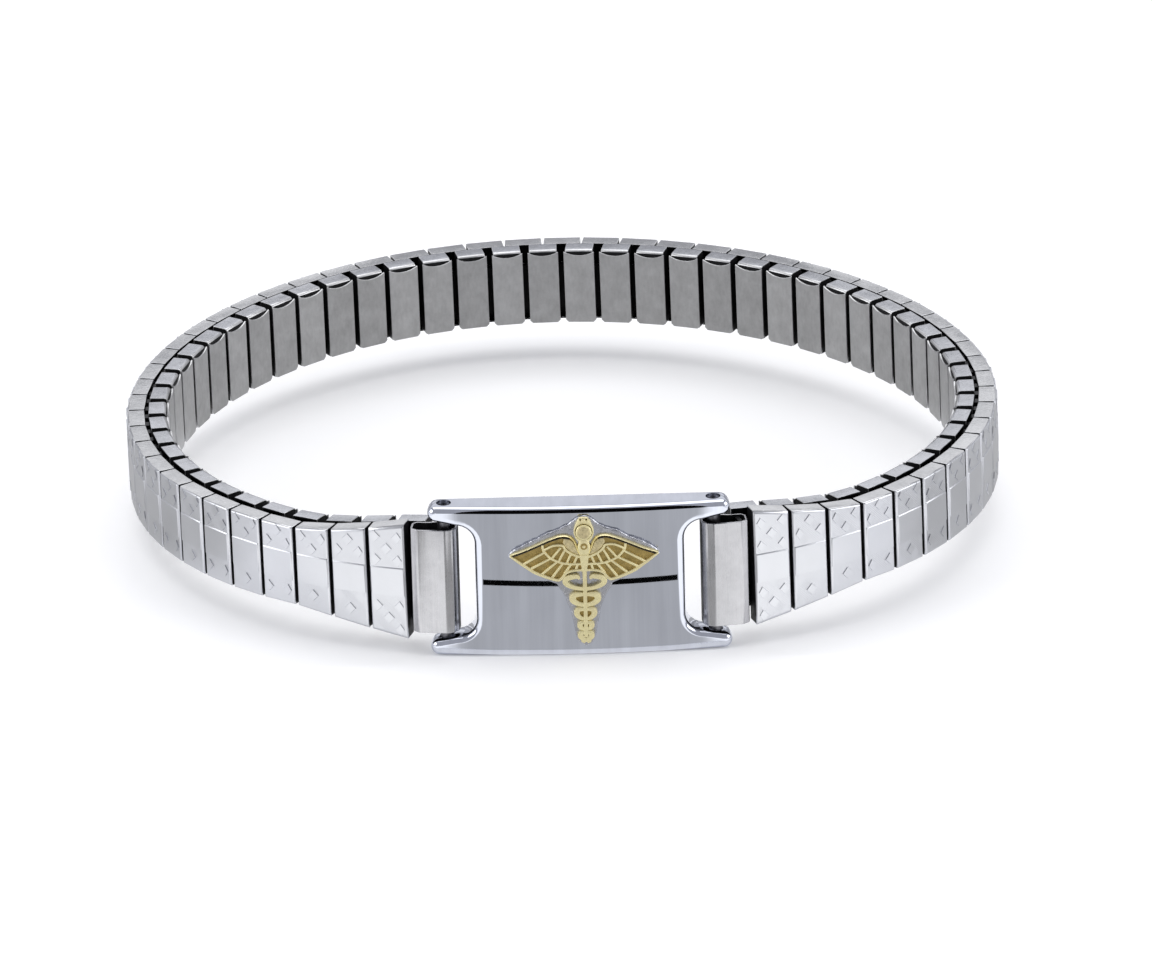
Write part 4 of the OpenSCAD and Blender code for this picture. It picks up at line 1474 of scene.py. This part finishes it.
def card(name, corners, finish):
    """A card of the studio, lying or standing, that only reflections see."""
    clear_bench()
    bpy.ops.mesh.primitive_plane_add(size=1)
    piece = bpy.context.object
    piece.name = name
    for corner, (x, y, z) in zip(piece.data.vertices, corners):
        corner.co = (x * MM, y * MM, z * MM)
    piece.data.materials.append(finish)
    piece.visible_camera = False
    piece.visible_diffuse = False
    piece.visible_shadow = False
    piece.visible_transmission = False


def flat_card(name, x, y, z, tone):
    """A card that lies level over a stretch of x and y."""
    corners = [(x[0], y[0], z), (x[1], y[0], z), (x[0], y[1], z), (x[1], y[1], z)]
    card(name, corners, card_finish(name, (tone, tone, tone * 1.01)))


# Lights, in metres and watts: place, the spot each one faces, width and height, and power
LIGHTS = {
    "Overhead": ((0.0, 0.05, 0.32), (0, 0, 0), (0.36, 0.3), 0.55),
    "Left box": ((-0.35, -0.08, 0.16), (0, 0, 0.004), (0.3, 0.22), 0.5),
    "Right box": ((0.35, -0.08, 0.16), (0, 0, 0.004), (0.3, 0.22), 0.5),
    "Back box": ((0.0, 0.2, 0.143), (0, 0.0, 0.143), (0.6, 0.104), 0.085),
    "Low left box": ((-0.045, 0.2, 0.066), (-0.045, 0, 0.066), (0.05, 0.03), 0.0021),
    "Low right box": ((0.045, 0.2, 0.066), (0.045, 0, 0.066), (0.05, 0.03), 0.0021)}
SKY_COLOUR = (0.93, 0.94, 1.0, 1)
SKY_STRENGTH = 0.5
FLOOR_SIZE = 4.0
FLOOR_DROP = 0.00002
# Cards, in millimetres. The grey one lies on the floor before the plate: its half width of grey, the
# share by which that grows with the distance, where it ends and starts, the bright strip beside it, how
# softly the two meet, and its tone. The dark one stands upright between the bracelet and the camera.
GREY_NEAR = 8.9
GREY_SPREAD = 0.185
GREY_FAR = 275
GREY_CLOSE = 0.7
GREY_BESIDE = 22
GREY_SOFTNESS = 1.2
GREY_TONE = (0.60, 0.60, 0.60)
DARK_TONE = (0.003, 0.003, 0.003)
DARK_SIDES = (-58, 62)
DARK_PLACE = -300
DARK_HEIGHT = 420
# Level cards before the plate: half width, how far before its front they start and end, height, tone
PLATE_CARDS = (("stage_card_edge", 8.75, 12.0, 11.1, 0.2, 0.003),
               ("stage_foot_card", 12, 0.7, -0.45, 0.02, 0.95))
# Level cards inside and beside the band: stretch of x and of y, height, tone
FLAT_CARDS = (("stage_inner_card", (-22, 22), (-16, 24), 0.1, 0.5),
              ("stage_side_card_left", (-60, -30), (-20, 40), 0.1, 0.62),
              ("stage_side_card_right", (30, 60), (-20, 40), 0.1, 0.62))


def make_cards(middle, front):
    """The cards round the bracelet, with the plate's middle and front in millimetres."""
    left, right = DARK_SIDES
    card("stage_dark_card", [(left, DARK_PLACE, 0), (right, DARK_PLACE, 0),
                             (left, DARK_PLACE, DARK_HEIGHT), (right, DARK_PLACE, DARK_HEIGHT)],
         card_finish("stage_dark_card", DARK_TONE))
    corners = []
    for distance in (GREY_FAR, GREY_CLOSE):
        half = GREY_NEAR + GREY_SPREAD * distance + GREY_BESIDE
        corners += [(middle - half, front - distance, 0.1), (middle + half, front - distance, 0.1)]
    card("stage_grey_card", corners,
         shaded_card_finish(GREY_TONE, middle * MM, front * MM, GREY_NEAR * MM, GREY_SPREAD,
                            GREY_SOFTNESS * MM))
    for name, half, before, behind, z, tone in PLATE_CARDS:
        flat_card(name, (middle - half, middle + half), (front - before, front - behind), z, tone)
    for name, x, y, z, tone in FLAT_CARDS:
        flat_card(name, x, y, z, tone)


def make_camera(context):
    """The photograph's camera: across and up lie in its picture, turned by its roll."""
    away = Vector((0, math.cos(CAMERA_ELEVATION), -math.sin(CAMERA_ELEVATION)))
    flat_up = Vector((0, math.sin(CAMERA_ELEVATION), math.cos(CAMERA_ELEVATION)))
    across = Vector((1, 0, 0))
    right = across * math.cos(CAMERA_ROLL) - flat_up * math.sin(CAMERA_ROLL)
    up = across * math.sin(CAMERA_ROLL) + flat_up * math.cos(CAMERA_ROLL)
    spot = CAMERA_TARGET - away * CAMERA_DISTANCE
    lens = bpy.data.cameras.new("Camera")
    lens.lens = CAMERA_LENS
    lens.sensor_width = CAMERA_SENSOR
    lens.clip_start = 0.01
    lens.clip_end = 20.0
    camera = bpy.data.objects.new("Camera", lens)
    camera.matrix_world = Matrix((
        (right.x, up.x, -away.x, spot.x), (right.y, up.y, -away.y, spot.y),
        (right.z, up.z, -away.z, spot.z), (0, 0, 0, 1)))
    context.scene.collection.objects.link(camera)
    context.scene.camera = camera
    context.scene.view_settings.view_transform = "Standard"


def make_stage(context):
    """The floor, the pale surroundings, the lights, the cards and the camera."""
    clear_bench()
    bpy.ops.mesh.primitive_plane_add(size=FLOOR_SIZE, location=(0, 0, -FLOOR_DROP))
    bpy.ops.object.transform_apply(location=True, rotation=True, scale=True)
    floor = bpy.context.object
    floor.name = "stage_floor"
    floor.data.materials.append(floor_finish(context.scene.bracelet_finishes.floor))
    world = bpy.data.worlds.new("Studio")
    context.scene.world = world
    world.use_nodes = True
    sky = world.node_tree.nodes["Background"]
    sky.inputs["Color"].default_value = SKY_COLOUR
    sky.inputs["Strength"].default_value = SKY_STRENGTH
    for name, (place, aim, size, power) in LIGHTS.items():
        area_light(name, place, aim, size, power)
    make_cards((PLATE_LOW.x + PLATE_HIGH.x) / 2 / MM,
               (PLATE_HIGH.y - context.scene.bracelet_plate.thickness) / MM)
    make_camera(context)


class BRACELET_OT_stage(bpy.types.Operator):
    """Set up the pale floor, the soft light and the camera"""
    bl_idname = "bracelet.stage"
    bl_label = "Stage"

    def execute(self, context):
        make_stage(context)
        return {"FINISHED"}


class BRACELET_OT_plate(bpy.types.Operator):
    """Model the identity plate with its windows, lugs and bores"""
    bl_idname = "bracelet.plate"
    bl_label = "Identity plate"

    def execute(self, context):
        make_plate(context)
        return {"FINISHED"}


class BRACELET_OT_solder(bpy.types.Operator):
    """Model the bed of solder under the emblem"""
    bl_idname = "bracelet.solder"
    bl_label = "Solder"

    def execute(self, context):
        make_solder(context)
        return {"FINISHED"}


class BRACELET_OT_emblem(bpy.types.Operator):
    """Model the raised gold caduceus"""
    bl_idname = "bracelet.emblem"
    bl_label = "Emblem"

    def execute(self, context):
        make_emblem(context)
        return {"FINISHED"}


class BRACELET_OT_end_links(bpy.types.Operator):
    """Model the two folded end links"""
    bl_idname = "bracelet.end_links"
    bl_label = "End links"

    def execute(self, context):
        make_end_links(context)
        return {"FINISHED"}


class BRACELET_OT_outer_links(bpy.types.Operator):
    """Model the outer row of links with their panels and hatching"""
    bl_idname = "bracelet.outer_links"
    bl_label = "Outer links"

    def execute(self, context):
        make_outer_links(context)
        return {"FINISHED"}


class BRACELET_OT_inner_links(bpy.types.Operator):
    """Model the inner row of links with their caps and wrist plates"""
    bl_idname = "bracelet.inner_links"
    bl_label = "Inner links"

    def execute(self, context):
        make_inner_links(context)
        return {"FINISHED"}


class BRACELET_OT_small_parts(bpy.types.Operator):
    """Give the pins and staples their steel"""
    bl_idname = "bracelet.small_parts"
    bl_label = "Pins and staples"

    def execute(self, context):
        dress_small_parts(context)
        return {"FINISHED"}


class BRACELET_PT_panel(bpy.types.Panel):
    """The bracelet's pieces, sizes and colours"""
    bl_idname = "BRACELET_PT_panel"
    bl_label = "Medical alert bracelet"
    bl_space_type = "VIEW_3D"
    bl_region_type = "UI"
    bl_category = "Bracelet"

    def draw(self, context):
        layout = self.layout
        for step in STEPS:
            layout.operator(step.bl_idname)
        for name in GROUPS:
            group = getattr(context.scene, name)
            box = layout.box()
            for key in group.bl_rna.properties.keys():
                if key not in ("rna_type", "name"):
                    box.prop(group, key)


STEPS = (BRACELET_OT_stage, BRACELET_OT_plate, BRACELET_OT_solder, BRACELET_OT_emblem,
         BRACELET_OT_end_links, BRACELET_OT_outer_links, BRACELET_OT_inner_links,
         BRACELET_OT_small_parts)
GROUPS = {"bracelet_band": BandSizes, "bracelet_plate": PlateSizes, "bracelet_emblem": EmblemSizes,
          "bracelet_finishes": Finishes}


def register():
    for kind in (*GROUPS.values(), *STEPS, BRACELET_PT_panel):
        bpy.utils.register_class(kind)
    for name, kind in GROUPS.items():
        setattr(bpy.types.Scene, name, bpy.props.PointerProperty(type=kind))


def unregister():
    for name in GROUPS:
        delattr(bpy.types.Scene, name)
    for kind in reversed((*GROUPS.values(), *STEPS, BRACELET_PT_panel)):
        bpy.utils.unregister_class(kind)


def main():
    register()
    bpy.ops.bracelet.stage()
    bpy.ops.bracelet.plate()
    bpy.ops.bracelet.solder()
    bpy.ops.bracelet.emblem()
    bpy.ops.bracelet.end_links()
    bpy.ops.bracelet.outer_links()
    bpy.ops.bracelet.inner_links()
    bpy.ops.bracelet.small_parts()
    clear_bench()


if __name__ == "__main__":
    main()
